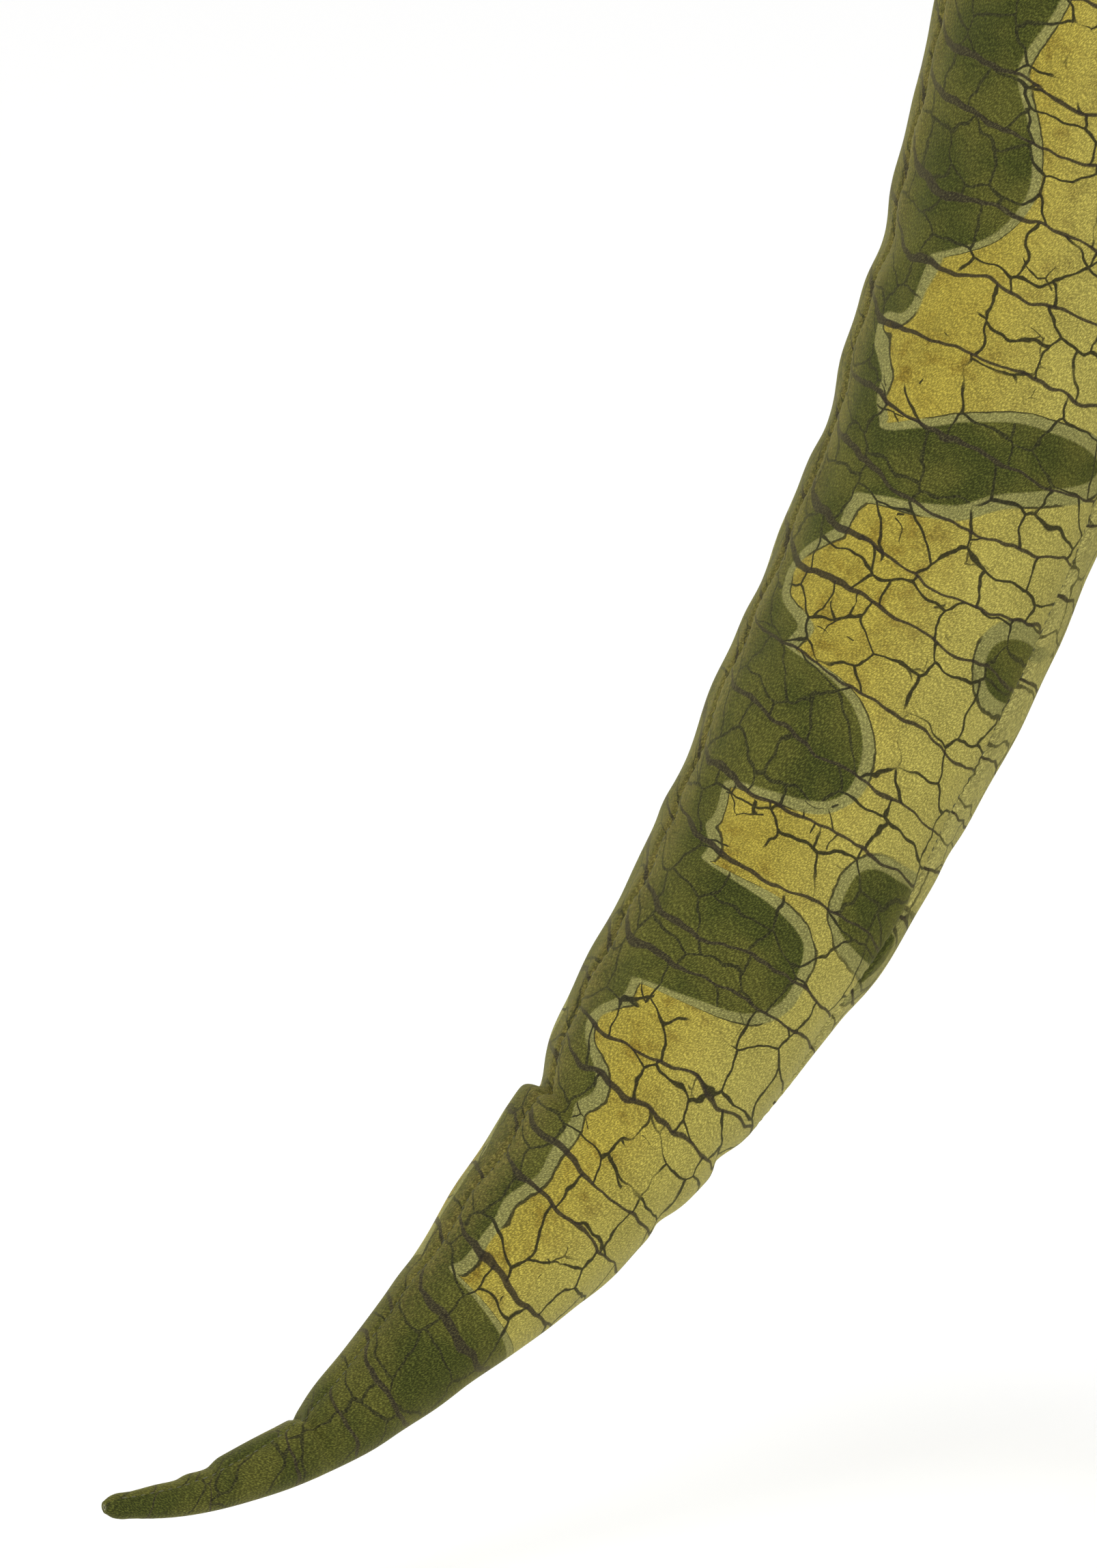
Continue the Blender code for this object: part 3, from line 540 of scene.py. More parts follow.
def slack_at(table, height, across, side=1):
    """How far the cloth stands out of its plain form."""
    out = np.zeros(np.broadcast(height, across).shape)
    for number, fold in enumerate(table):
        wander = 0.004 * np.sin(9 * across + number) + side * SIDE_SHIFT * np.sin(2.1 * number)
        middle = fold.height + fold.lean * (across - 0.5) + wander
        off = (height - middle) / fold.half
        along = bell(np.where(off < 0, off * 1.5, off))
        reach = (across - fold.begins) / (fold.ends - fold.begins)
        out += fold.out * along * np.sin(np.pi * np.clip(reach, 0, 1)) ** 2
    return out * FOLD_STRENGTH


def seat_blend(t, across):
    """How far a section of the seat is that of a leg: all at the crotch, none at the seat's top."""
    at_centre = 1 - np.sin(t * np.pi / 2)
    at_side = smooth(np.cos(t * np.pi / 2))
    return mix(at_centre, at_side, smooth(across * 2))


def lower_body(v, across, facing, side):
    """A point of the jumpsuit from hem to underarm, as out, depth and height. v counts the zones: 0 to 1
    the leg, 1 to 2 the seat, 2 to 3 the trunk. across runs from the centre to the side seam."""
    depth_of = {"front": 1, "back": 2}[facing]
    t_seat = np.clip(v - 1, 0, 1)
    height = np.where(
        v < 1,
        mix(HEM, CROTCH, v),
        np.where(
            v < 2,
            CROTCH + (SEAT - CROTCH) * (1 - np.cos(t_seat * np.pi / 2)),
            mix(SEAT, UNDERARM, v - 2),
        ),
    )
    trunk = by_height(TRUNK, height)
    leg = by_height(LEG, height)
    on_leg = v < 1
    inner = np.where(on_leg, leg[..., 0], 0.0)
    outer = np.where(on_leg, leg[..., 1], trunk[..., 0])
    share = np.sin(across * np.pi / 2) ** mix(2.0, 1.0, smooth(t_seat))
    squareness = mix(SQUARE_HIPS, ROUND_CHEST, smooth(v - 2))
    depth_trunk = trunk[..., depth_of] * (1 - share**squareness) ** (1 / squareness)
    depth_leg = leg[..., depth_of + 1] * 2 * np.sqrt(np.clip(share * (1 - share), 0, 1))
    blend = np.where(on_leg, 1.0, seat_blend(t_seat, across))
    depth = mix(depth_trunk, depth_leg, blend)
    table = FRONT_SLACK if facing == "front" else BACK_SLACK
    slack = slack_at(table, height, across, side)
    middle = mix(inner, outer, 0.5)
    out = mix(inner, outer, share)
    out = out + slack * (out - middle) / (outer - middle + 0.02) * np.where(on_leg, 1, 0)
    depth = depth + slack * np.sin(np.pi * across) * np.where(on_leg, 1, 0.9)
    return out, depth, height


def armhole(t):
    """The armhole's edge, from the underarm at t = 0 to the shoulder tip at 1."""
    middle, half = (UNDERARM + SHOULDER_TIP) / 2, (SHOULDER_TIP - UNDERARM) / 2
    height = middle - half * np.cos(np.pi * t)
    out = by_height(TRUNK, height)[..., 0] - ARMHOLE_HOLLOW * np.sin(np.pi * t)
    return out, ARMHOLE_DEPTH * np.sin(np.pi * t), height


def upper_body(v, across, facing):
    """A point of the jumpsuit from the underarm to the neckline. v is 3 to 4 beside the armhole and 4 to 5
    along the shoulder seam."""
    row_height = {"front": FRONT_SHOULDER_ROW, "back": BACK_SHOULDER_ROW}[facing]
    neck_height = {"front": NECK_FRONT, "back": NECK_BACK}[facing]
    depth_of = {"front": 1, "back": 2}[facing]
    t, s = np.clip(v - 3, 0, 1), np.clip(v - 4, 0, 1)
    edge_out, edge_depth, edge_height = armhole(t)
    arch = SHOULDER_ARCH * np.sin(np.pi * s)
    edge_out = np.where(v > 4, mix(SHOULDER_HALF, NECK_HALF, s), edge_out)
    edge_height = np.where(v > 4, mix(SHOULDER_TIP, NECK_SIDE, s) + arch, edge_height)
    edge_depth = np.where(v > 4, 0.0, edge_depth)
    centre_height = np.where(
        v > 4, mix(row_height, neck_height, s), mix(UNDERARM, row_height, t)
    )
    centre_depth = by_height(TRUNK, centre_height)[..., depth_of]
    angle = across * np.pi / 2
    out = edge_out * np.sin(angle)
    depth = centre_depth + (edge_depth - centre_depth) * (1 - np.cos(angle))
    height = mix(centre_height, edge_height, np.sin(angle) ** 2)
    return out, depth, height


def body_point(v, across, facing, side=1):
    v, across = np.broadcast_arrays(np.asarray(v, float), np.asarray(across, float))
    low = lower_body(np.minimum(v, 3), across, facing, side)
    high = upper_body(np.maximum(v, 3), across, facing)
    out, depth, height = (np.where(v <= 3, a, b) for a, b in zip(low, high))
    toward = {"front": -1.0, "back": 1.0}[facing]
    return np.stack([out, toward * depth, height - HOLD_HEIGHT], axis=-1)


def body_rows():
    zones = (LEG_ROWS, SEAT_ROWS, TRUNK_ROWS, ARMHOLE_ROWS, SHOULDER_ROWS)
    steps = [np.arange(n) / n + zone for zone, n in enumerate(zones)]
    return np.concatenate(steps + [[5.0]])


def body_columns(rows, facing):
    """Places across a panel for each row. The front's first columns keep within the placket."""
    even = np.linspace(0, 1, BODY_COLUMNS + 1)
    if facing == "back":
        return np.broadcast_to(even, (len(rows), len(even)))
    half = body_point(rows, 1.0, "front")[:, 0]
    edge = np.arcsin(PLACKET_HALF / half) * 2 / np.pi
    edge = np.where(rows < 2, edge[rows >= 2][0], edge)[:, None]
    covered = edge * np.linspace(0, 1, PLACKET_COLUMNS + 1)[None, :-1]
    rest = edge + (1 - edge) * np.linspace(0, 1, BODY_COLUMNS)[None]
    return np.concatenate([covered, rest], axis=1)


def normals(grid, closed=False):
    """Unit normals of a grid of points, rows by columns."""
    down = np.gradient(grid, axis=0)
    if closed:
        wide = np.concatenate([grid[:, -1:], grid, grid[:, :1]], axis=1)
        over = np.gradient(wide, axis=1)[:, 1:-1]
    else:
        over = np.gradient(grid, axis=1)
    n = np.cross(over, down)
    return n / np.maximum(np.linalg.norm(n, axis=2, keepdims=True), 1e-12)


def outward(grid, centre, closed=False):
    """The grid's unit normals, turned to point away from centre."""
    n = normals(grid, closed)
    return -n if np.sum(n * (grid - centre)) < 0 else n


def arcs(grid, axis):
    """The distance along the grid's lines, from the first point of each."""
    steps = np.linalg.norm(np.diff(grid, axis=axis), axis=2)
    start = np.zeros_like(steps[:1] if axis == 0 else steps[:, :1])
    return np.cumsum(np.concatenate([start, steps], axis=axis), axis=axis)


def pucker(along):
    """The uneven swell of cloth gathered by its thread, from 0 to 1 along a seam."""
    wander = 1.4 * np.sin(along * 61) + 0.9 * np.sin(along * 139 + 1)
    return 0.5 + 0.5 * np.sin(2 * np.pi * along / PUCKER_PITCH + wander)


def seam_shape(off, along, strength=1.0):
    """How far cloth stands out beside a seam, off away from it."""
    groove = -SEAM_DIP * bell(off / SEAM_DIP_HALF)
    gathers = -PUCKER * pucker(along) * bell(off / PUCKER_HALF)
    return strength * (groove + gathers)


def hem_shape(off, along):
    """How far cloth stands out beside a turned hem, off away from its edge."""
    doubled = HEM_RISE * smooth((HEM_DEPTH - off) / HEM_STEP)
    dents = sum(bell((off - at) / STITCH_DENT_HALF) for at in HEM_STITCH_AT)
    gathers = PUCKER * pucker(along) * bell((off - HEM_DEPTH) / HEM_GATHER_HALF)
    return doubled - STITCH_DENT * dents - gathers


def edge_measures(grid):
    """For each edge of a grid, how far every point lies from it and how far along it."""
    across, down = arcs(grid, 1), arcs(grid, 0)
    return {
        "centre": (across, down),
        "side": (across[:, -1:] - across, down),
        "first": (down, across),
        "last": (down[-1:] - down, across),
    }


def dressed(grid, n, edges, seed, crumple=CRUMPLE):
    """The grid with its seams, hems and small unevenness. edges gives each sewn edge's kind."""
    measures = edge_measures(grid)
    swell = rumple(measures["centre"][0], measures["first"][0], seed) * crumple
    for edge in edges:
        swell = swell * smooth(measures[edge][0] / EDGE_REACH)
    for edge, (kind, strength) in edges.items():
        off, along = measures[edge]
        if kind == "hem":
            swell = swell + strength * hem_shape(off, along)
        else:
            swell = swell + seam_shape(off, along, strength)
    return grid + n * swell[..., None]


def print_place(across, along, share, half_girth, seed, belly):
    """Where the printed cloth lies: two vectors a point. The first holds millimetres across and along the
    cloth and the piece's seed, the second the share of the way from spine to belly, the way's length in
    millimetres, and how far the piece is belly cloth."""
    across, along, share, half_girth = np.broadcast_arrays(across, along, share, half_girth)
    place = np.stack([across * 1000, along * 1000, np.full(share.shape, seed)], -1)
    reach = np.stack([np.abs(share), half_girth * 1000, np.full(share.shape, belly)], -1)
    return place, reach


def wall(name, outer, inner, printed, material):
    """A closed wall between two grids of points, as one object that carries the print's places."""
    rows, columns = outer.shape[:2]
    skin = np.arange(rows * columns).reshape(rows, columns)
    lining = skin + rows * columns

    def quads(a, b, c, d):
        return np.stack([a, b, c, d], axis=-1).reshape(-1, 4)

    faces = [
        quads(skin[:-1, :-1], skin[:-1, 1:], skin[1:, 1:], skin[1:, :-1]),
        quads(lining[:-1, :-1], lining[1:, :-1], lining[1:, 1:], lining[:-1, 1:]),
        quads(skin[0, 1:], skin[0, :-1], lining[0, :-1], lining[0, 1:]),
        quads(skin[-1, :-1], skin[-1, 1:], lining[-1, 1:], lining[-1, :-1]),
        quads(skin[:-1, 0], skin[1:, 0], lining[1:, 0], lining[:-1, 0]),
        quads(skin[1:, -1], skin[:-1, -1], lining[:-1, -1], lining[1:, -1]),
    ]
    points = np.concatenate([outer.reshape(-1, 3), inner.reshape(-1, 3)])
    return piece(name, points, np.concatenate(faces).tolist(), material, printed)


def placed(name, data):
    """A new object in the scene."""
    made = bpy.data.objects.new(name, data)
    bpy.context.scene.collection.objects.link(made)
    return made


def piece(name, points, faces, material, printed=None):
    """One object from points and faces, turned to face outwards."""
    corners = np.array([points[list(face)[:3]] for face in faces])
    fans = np.array([points[[face[0], face[2], face[-1]]] for face in faces])
    volume = sum(np.sum(t[:, 0] * np.cross(t[:, 1], t[:, 2])) for t in (corners, fans))
    if volume < 0:
        faces = [face[::-1] for face in faces]
    data = bpy.data.meshes.new(name)
    data.from_pydata(points.tolist(), [], faces)
    data.shade_smooth()
    data.set_sharp_from_angle(angle=math.radians(SHARP_ANGLE))
    data.materials.append(material)
    if printed is not None:
        for label, values in zip(("place", "reach"), printed):
            outside = values.reshape(-1, 3)
            inside = outside + [0, 0, WRONG_SIDE if label == "reach" else 0]
            both = np.concatenate([outside, inside])
            held = data.attributes.new(label, "FLOAT_VECTOR", "POINT")
            held.data.foreach_set("vector", both.ravel().astype(np.float32))
    made = placed(name, data)
    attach(made, "root")
    return made


def body_print(rows, grid, facing, seed):
    """The print on a front or back: green down the back and the outer legs, pale down the front."""
    across = arcs(grid, 1)
    width = across[:, -1:]
    from_centre = across / width
    on_body = 0.5 * from_centre if facing == "back" else 1 - 0.5 * from_centre
    on_leg = 0.9 - 0.9 * from_centre
    share = mix(on_leg, on_body, smooth((rows - 0.75) / 0.9)[:, None])
    half_girth = mix(width, 2 * width, smooth(rows - 1)[:, None])
    return print_place(across, arcs(grid, 0) + BODY_CLOTH_AT, share, half_girth, seed, 0.0)


def body_panel(side, facing, cloth):
    """A front or a back, from the neckline to the hem. It stays in its own quarter of the plan."""
    rows = body_rows()
    columns = body_columns(rows, facing)
    plain = body_point(rows[:, None], columns, facing, side)
    n = outward(plain, BODY_MIDDLE)
    edges = {"side": ("seam", 0.8), "first": ("hem", 1)}
    if facing == "back":
        edges["centre"] = ("seam", 1)
    grid = dressed(plain, n, edges, 1.3 + side * 0.7 + (facing == "back"))
    top = smooth((rows - 4.6) / 0.3)[:, None, None]
    grid = mix(grid, plain, top)
    n = outward(grid, BODY_MIDDLE)
    inner = grid - CLOTH * n
    toward = -1 if facing == "front" else 1
    for points in (grid, inner):
        points[..., 0] = np.maximum(points[..., 0], SEAM / 2)
        points[..., 1] = toward * np.maximum(toward * points[..., 1], SEAM / 2)
    beside_arm = (rows > 3) & (rows < 4)
    inner[beside_arm, -1] = grid[beside_arm, -1] - [CLOTH, 0, 0]
    mirror = np.array([side, 1, 1])
    name = f"{facing}_{SIDES[side]}"
    printed = body_print(rows, grid, facing, {"front": 3, "back": 5}[facing] + side)
    made = wall(f"cloth_{name}", grid * mirror, inner * mirror, printed, cloth)
    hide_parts(name)
    return made, grid


def front_placket(front, cloth):
    """The strip that covers the front opening, laid on both fronts from the neckline to the seat."""
    rows = np.nonzero(body_rows() >= 2)[0]
    left = front[rows][:, : PLACKET_COLUMNS + 1].copy()
    left[:, 0, 0] = 0
    plain = np.concatenate([left[:, :0:-1] * [-1, 1, 1], left], axis=1)
    n = outward(plain, BEHIND_PLACKET)
    n[..., 0] *= PLACKET_SIDE_LEAN
    across = arcs(plain, 1)
    off = np.minimum(across, across[:, ::-1])
    dents = STITCH_DENT * bell((off - PLACKET_STITCH_AT) / STITCH_DENT_HALF)
    inner = plain + n * (SEAM + PLACKET_LIFT)
    outer = plain + n * (SEAM + PLACKET_LIFT + CLOTH - dents[..., None])
    printed = print_place(across, arcs(plain, 0) + BODY_CLOTH_AT, 0.97, 0.24, 9.0, 0.0)
    made = wall("cloth_front_placket", outer, inner, printed, cloth)
    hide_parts("front_placket")
    return made, outer


def sleeve(side, cloth):
    """A set-in sleeve: it starts as the armhole's own outline and becomes round."""
    t = np.arange(ARMHOLE_ROWS + 1) / ARMHOLE_ROWS
    front = np.stack(armhole(t), axis=-1) * [1, -1, 1]
    back = np.stack(armhole(t), axis=-1)
    loop = np.concatenate([front, back[-2:0:-1]]) - [0, 0, HOLD_HEIGHT]
    centre = by_share(ARM, 0.0)[:3] - [0, 0, HOLD_HEIGHT]
    angle = np.arctan2(loop[:, 1] - centre[1], loop[:, 2] - centre[2])
    angle[0] = -np.pi
    places = np.linspace(0, 1, SLEEVE_ROWS) ** SLEEVE_CROWDING
    long = lengths(np.array(ARM, float)[:, :3])[-1]
    rings, cores = [], []
    for place in places:
        middle = by_share(ARM, place)
        core = middle[:3] - [0, 0, HOLD_HEIGHT]
        before, after = (by_share(ARM, place + step)[:3] for step in (-SLEEVE_STEP, SLEEVE_STEP))
        ahead = (after - before) / np.linalg.norm(after - before)
        over = np.cross([0, 1, 0], ahead)
        over /= np.linalg.norm(over)
        fore = np.cross(ahead, over)
        over = -over if over[2] < 0 else over
        fore = fore if fore[1] > 0 else -fore
        ring = middle[3] * (np.cos(angle)[:, None] * over + np.sin(angle)[:, None] * fore)
        share = smooth(place / SLEEVE_BLEND)
        rings.append(core + mix(loop - centre, ring, share))
        cores.append(core)
    plain, cores = np.array(rings), np.array(cores)[:, None]
    plain[..., 0] += SEAM
    n = outward(plain, cores, closed=True)
    turn = np.degrees(angle)[None]
    swell = np.zeros(plain.shape[:2])
    for fold in ARM_FOLDS:
        off = (turn - fold.angle + 180) % 360 - 180
        here = fold.place + fold.lean * off / fold.spread + 0.01 * side
        along = (places[:, None] - here) * long / fold.half
        swell += fold.out * bell(along) * bell(off / fold.spread)
    down = arcs(plain, 0)
    from_cuff = down[-1:] - down
    round_it = np.radians(turn) * SLEEVE_ROUND
    swell += CRUMPLE * rumple(round_it, down, 2.0 + side)
    swell *= smooth(down / ARMHOLE_REACH)
    swell *= smooth(from_cuff / EDGE_REACH)
    swell += seam_shape(down, round_it, 0.6) + hem_shape(from_cuff, round_it)
    outer = plain + n * swell[..., None]
    n = outward(outer, cores, closed=True)
    n[0, :, 0] = 0
    n[0] /= np.linalg.norm(n[0], axis=1, keepdims=True)
    inner = outer - CLOTH * n
    inner[0, :, 0] -= ARMHOLE_TURNED_IN
    kept_out = np.maximum(outer[..., 0], plain[:1, :, 0])
    outer[..., 0] = np.where(down < ARMHOLE_FLAT, kept_out, outer[..., 0])
    mirror = np.array([side, 1, 1])
    name = f"sleeve_{SIDES[side]}"
    round_it = np.append(turn, 180) / 180
    down = np.concatenate([down, down[:, :1]], axis=1)
    across = round_it * SLEEVE_HALF_GIRTH
    share = np.abs(round_it)
    printed = print_place(across, down + SLEEVE_CLOTH_AT, share, 0.155, 7.0 + side, 0.0)

    # The wall ends at the underarm, where the sleeve's own seam runs
    walls = [np.concatenate([skin, skin[:, :1]], axis=1) * mirror for skin in (outer, inner)]
    made = wall(f"cloth_{name}", *walls, printed, cloth)
    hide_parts(name)
    return made, outer * mirror


def strip_half():
    return NECK_HALF * np.sin(STRIP_COLUMN / BODY_COLUMNS * np.pi / 2)


def flattened(grid):
    """A hood side laid out flat round its middle, as its cloth was printed: across and along."""
    away = grid[..., 1:] - [0, HOOD_MIDDLE]
    far = np.linalg.norm(away, axis=-1, keepdims=True)
    widest = 1.03 * far.max()
    flat = away / np.maximum(far, 0.001) * widest * np.arcsin(far / widest)
    return flat[..., 0] + HOOD_CLOTH_ACROSS, flat[..., 1] + HOOD_CLOTH_AT


def hood_side(side, front, back, cloth):
    """Half of the hood, between the centre strip, the neckline and the edge round the face."""
    neck_back = back[-1, STRIP_COLUMN:]
    neck_front = front[-1, PLACKET_COLUMNS:-1][::-1]
    neck = np.concatenate([neck_back, neck_front]) + [0, 0, SEAM]
    face = by_share(FACE_EDGE, np.linspace(0, 1, HOOD_FACE_COLUMNS + 1)[1:])
    face = face - [0, 0, HOLD_HEIGHT]
    far = np.concatenate([neck, face])
    count = len(far)
    even = np.arange(count) / (count - 1)
    place = lengths(far) / lengths(far)[-1]
    seam = by_share(HOOD_PROFILE, mix(HOOD_CORNER, 1 - HOOD_CORNER, mix(even, place, 0.5)))
    near = np.stack([np.full(count, strip_half()), seam[:, 0], seam[:, 1] - HOLD_HEIGHT], 1)
    s = np.linspace(0, 1, HOOD_ROWS + 1)[:, None]
    fullness = HOOD_FULLNESS * np.sin(np.pi * place) ** HOOD_FULLNESS_POWER
    plain = mix(near[None], far[None], s[..., None])
    plain[..., 0] += 4 * s * (1 - s) * fullness[None]
    edge = plain[:, [0, -1]]
    plain[:, [0, -1]] = np.where([True, False, False], strip_half(), edge)
    n = outward(plain, HEAD_MIDDLE)
    across, down = arcs(plain, 0), arcs(plain, 1)
    swell = slack_at(HOOD_SLACK, place[None], s, side) * smooth(across / HOOD_SEAM_REACH)
    swell += CRUMPLE * rumple(across, down, 4.0 + side)
    on_neck = np.arange(count) < len(neck)
    from_far = across[-1:] - across
    swell *= smooth(from_far / HOOD_EDGE_REACH)
    swell *= smooth(np.minimum(down, down[:, -1:] - down) / HOOD_EDGE_REACH)
    swell += seam_shape(across, down)
    swell += np.where(on_neck[None], seam_shape(from_far, down, 0.5), hem_shape(from_far, down))
    grid = plain + n * swell[..., None]
    n = outward(grid, HEAD_MIDDLE)
    inner = grid - CLOTH * n
    for points in (grid, inner):
        points[..., 0] = np.maximum(points[..., 0], SEAM / 2)
    for edge_of in (np.s_[0], np.s_[:, 0], np.s_[:, -1]):
        for points in (grid, inner):
            points[edge_of][..., 0] = strip_half() + SEAM / 2
    grid[-1, on_neck, 2] = plain[-1, on_neck, 2]
    inner[-1, on_neck, 2] = grid[-1, on_neck, 2] - NECK_TURNED_IN
    mirror = np.array([side, 1, 1])
    name = f"hood_{SIDES[side]}"
    share = 0.12 + 0.62 * across / across.max()
    printed = print_place(*flattened(grid), share, 0.21, 11.0 + side, 0.0)
    made = wall(f"cloth_{name}", grid * mirror, inner * mirror, printed, cloth)
    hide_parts(name)
    return made, grid[:, ~on_neck] * mirror


def hood_centre(back, cloth):
    """The strip over the head, from the nape to the brow."""
    half = back[-1, : STRIP_COLUMN + 1] + [0, 0, SEAM]
    half[0, 0] = 0
    nape = np.concatenate([half[:0:-1] * [-1, 1, 1], half])
    across = nape[:, 0]
    rows = np.linspace(0, 1, HOOD_STRIP_ROWS)
    line = by_share(HOOD_PROFILE, rows)
    along = np.gradient(line, axis=0)
    along /= np.linalg.norm(along, axis=1, keepdims=True)
    up = np.stack([along[:, 1], -along[:, 0]], axis=1)
    rise = HOOD_CROWN_RISE * (1 - (across / strip_half()) ** 2)
    plain = np.zeros((len(rows), len(across), 3))
    plain[..., 0] = across
    plain[..., 1] = line[:, None, 0] + up[:, None, 0] * rise
    plain[..., 2] = line[:, None, 1] + up[:, None, 1] * rise - HOLD_HEIGHT
    share = smooth(rows / NAPE_BLEND)[:, None, None]
    moved = nape[None] - plain[:1]
    plain += moved * (1 - share)
    n = outward(plain, HEAD_MIDDLE)
    edges = {"centre": ("seam", 1), "side": ("seam", 1), "first": ("seam", 0.4), "last": ("hem", 1)}
    grid = dressed(plain, n, edges, 6.1)
    n = outward(grid, HEAD_MIDDLE)
    inner = grid - CLOTH * n
    limit = strip_half() - SEAM / 2
    for points in (grid, inner):
        points[..., 0] = np.clip(points[..., 0], -limit, limit)
        points[:, 0, 0], points[:, -1, 0] = -limit, limit
    grid[0, :, 2] = plain[0, :, 2]
    inner[0, :, 2] = grid[0, :, 2] - NECK_TURNED_IN
    share = 0.2 * np.abs(across)[None] / limit
    down = arcs(plain, 0) + HOOD_STRIP_CLOTH_AT
    printed = print_place(across[None], down, share, 0.21, 15.0, 0.0)
    made = wall("cloth_hood_centre", grid, inner, printed, cloth)
    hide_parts("hood_centre")
    return made, grid


def tail_middle(s):
    """The tail's columns at a distance from the tip, along the middle line."""
    rows = np.array(TAIL, float)
    at = lengths(rows[:, :2])
    return curve(rows, at, at[-1] - np.asarray(s, float))


def tail_length():
    return lengths(np.array(TAIL, float)[:, :2])[-1]


def gore_half(s):
    """Half the underside panel's width in degrees, none below its point."""
    rows = np.array(GORE, float)
    half = curve(rows[:, 1:], rows[:, 0], s)[..., 0]
    return np.where(np.asarray(s) < rows[0, 0], 0.0, half)


def seam_swing(along):
    """The uneven swing of a tail seam between the places where it is gathered, from -1 to 1."""
    return np.sin(2 * np.pi * along / TAIL_SEAM_BREAKS + 1.6 * np.sin(23 * along))


def spine(s):
    """The back seam's turn in degrees: it wanders a little between the places where it is gathered."""
    s = np.asarray(s, float)
    return TAIL_SEAM_WANDER * seam_swing(s) * smooth((s - 0.05) / 0.1) * smooth((0.62 - s) / 0.05)


def tail_seam_dip(turn, s, radius):
    """How far the nearest seams draw the cloth in, with the gathers that their thread makes."""
    thick = np.clip(radius / 0.03, 0.15, 1)
    under = 180 - gore_half(s)
    dip = np.zeros(np.broadcast(turn, s).shape)
    for number, seam in enumerate((spine(s), under, -under)):
        off = np.radians((turn - seam + 180) % 360 - 180) * radius
        groove = TAIL_SEAM_DIP * bell(off / TAIL_SEAM_DIP_HALF)
        ease = TAIL_SEAM_EASE * bell(off / TAIL_SEAM_EASE_HALF)
        along = s + 0.013 * number
        gathers = PUCKER * pucker(along) * bell(off / PUCKER_HALF)
        slack = 0.5 * PUCKER * (0.5 + 0.5 * seam_swing(along)) * bell(off / TAIL_SEAM_SLACK_HALF)
        dip += thick * (groove + ease + gathers + slack)
    return dip


def tail_crease_dip(turn, s):
    """How far the pressed folds go in. A deep one is a sharp pleat, a shallow one a soft trough."""
    dip = np.zeros(np.broadcast(turn, s).shape)
    for crease in TAIL_CREASES:
        off = (turn - crease.angle + 180) % 360 - 180
        round_it = bell(off / crease.spread)
        middle = crease.from_tip - crease.lean * off / crease.spread
        reach = np.where(s > middle, (s - middle) / crease.root_side, (middle - s) / crease.tip_side)
        power = 1.2 if crease.depth > SHARP_CREASE else 2.0
        dip += crease.depth * round_it * np.exp(-(reach**power))
    return dip


def tail_point(s, turn, inset=0.0):
    """A point of the tail's skin, or of a surface inset below it, at a distance from the tip and a turn
    from the back seam, in degrees."""
    s, turn = np.broadcast_arrays(np.asarray(s, float), np.asarray(turn, float))
    at = tail_middle(s)
    ahead = (tail_middle(s - TAIL_HEADING_STEP) - tail_middle(s + TAIL_HEADING_STEP))[..., :2]
    ahead /= np.linalg.norm(ahead, axis=-1, keepdims=True)
    angle = np.radians(turn + at[..., 4])
    side, ridge = at[..., 3] / 2 * np.sin(angle), at[..., 2] / 2 * np.cos(angle)
    radius = np.hypot(side, ridge)
    inset = np.minimum(inset, radius * TIP_WALL_SHARE)
    facing = (turn + 180) % 360 - 180
    swell = CRUMPLE * rumple(np.radians(facing) * radius, s, 3.1) * np.clip(radius / 0.03, 0, 1)
    away = smooth(np.abs(facing) / 12) * smooth((180 - np.abs(facing)) / 12)
    dip = tail_seam_dip(facing, s, radius) + tail_crease_dip(facing, s) - swell * away
    keep = 1 - (dip + inset) / radius
    side, ridge = side * keep, ridge * keep
    core = np.stack([np.zeros_like(s), at[..., 0], at[..., 1] - HOLD_HEIGHT], axis=-1)
    toward_back = np.stack([np.zeros_like(s), -ahead[..., 1], ahead[..., 0]], axis=-1)
    skin = core + toward_back * ridge[..., None]
    skin[..., 0] -= side
    return skin


def clearance(point, trees):
    """How far a point stands out of the surfaces, less than 0 inside them."""
    near = [tree.find_nearest(point) for tree in trees]
    place, normal, _, _ = min(near, key=lambda found: found[3])
    return np.dot(point - np.array(place), normal)


def tail_start(turn, backs, inset, gap):
    """How far from the tip each line along the tail stands a gap clear of the seat."""
    length = tail_length()
    s = np.linspace(length * TAIL_HIDDEN_FROM, length, SEAT_LOOKS)
    starts = []
    for angle in turn:
        line = tail_point(s, angle, inset)
        line[np.abs(line[:, 0]) < SEAM, 0] = 2 * SEAM
        hit = s[0]
        for a, b, t in zip(line[:-1], line[1:], s[:-1]):
            reach = np.linalg.norm(b - a)
            heading = (b - a) / reach
            found = [tree.ray_cast(a, heading, reach) for tree in backs]
            found = [d for _, _, _, d in found if d is not None]
            if found:
                hit = t + min(found)
                break
        starts.append(hit)
    starts = np.array(starts) - gap
    for _ in range(SEAT_PASSES):
        rim = tail_point(starts, turn, inset)
        for j in range(len(starts) - 1):
            chord = mix(rim[j], rim[j + 1], np.linspace(0, 1, 3)[:, None])
            short = gap - min(clearance(point, backs) for point in chord)
            starts[j : j + 2] -= max(short, 0)
    return starts


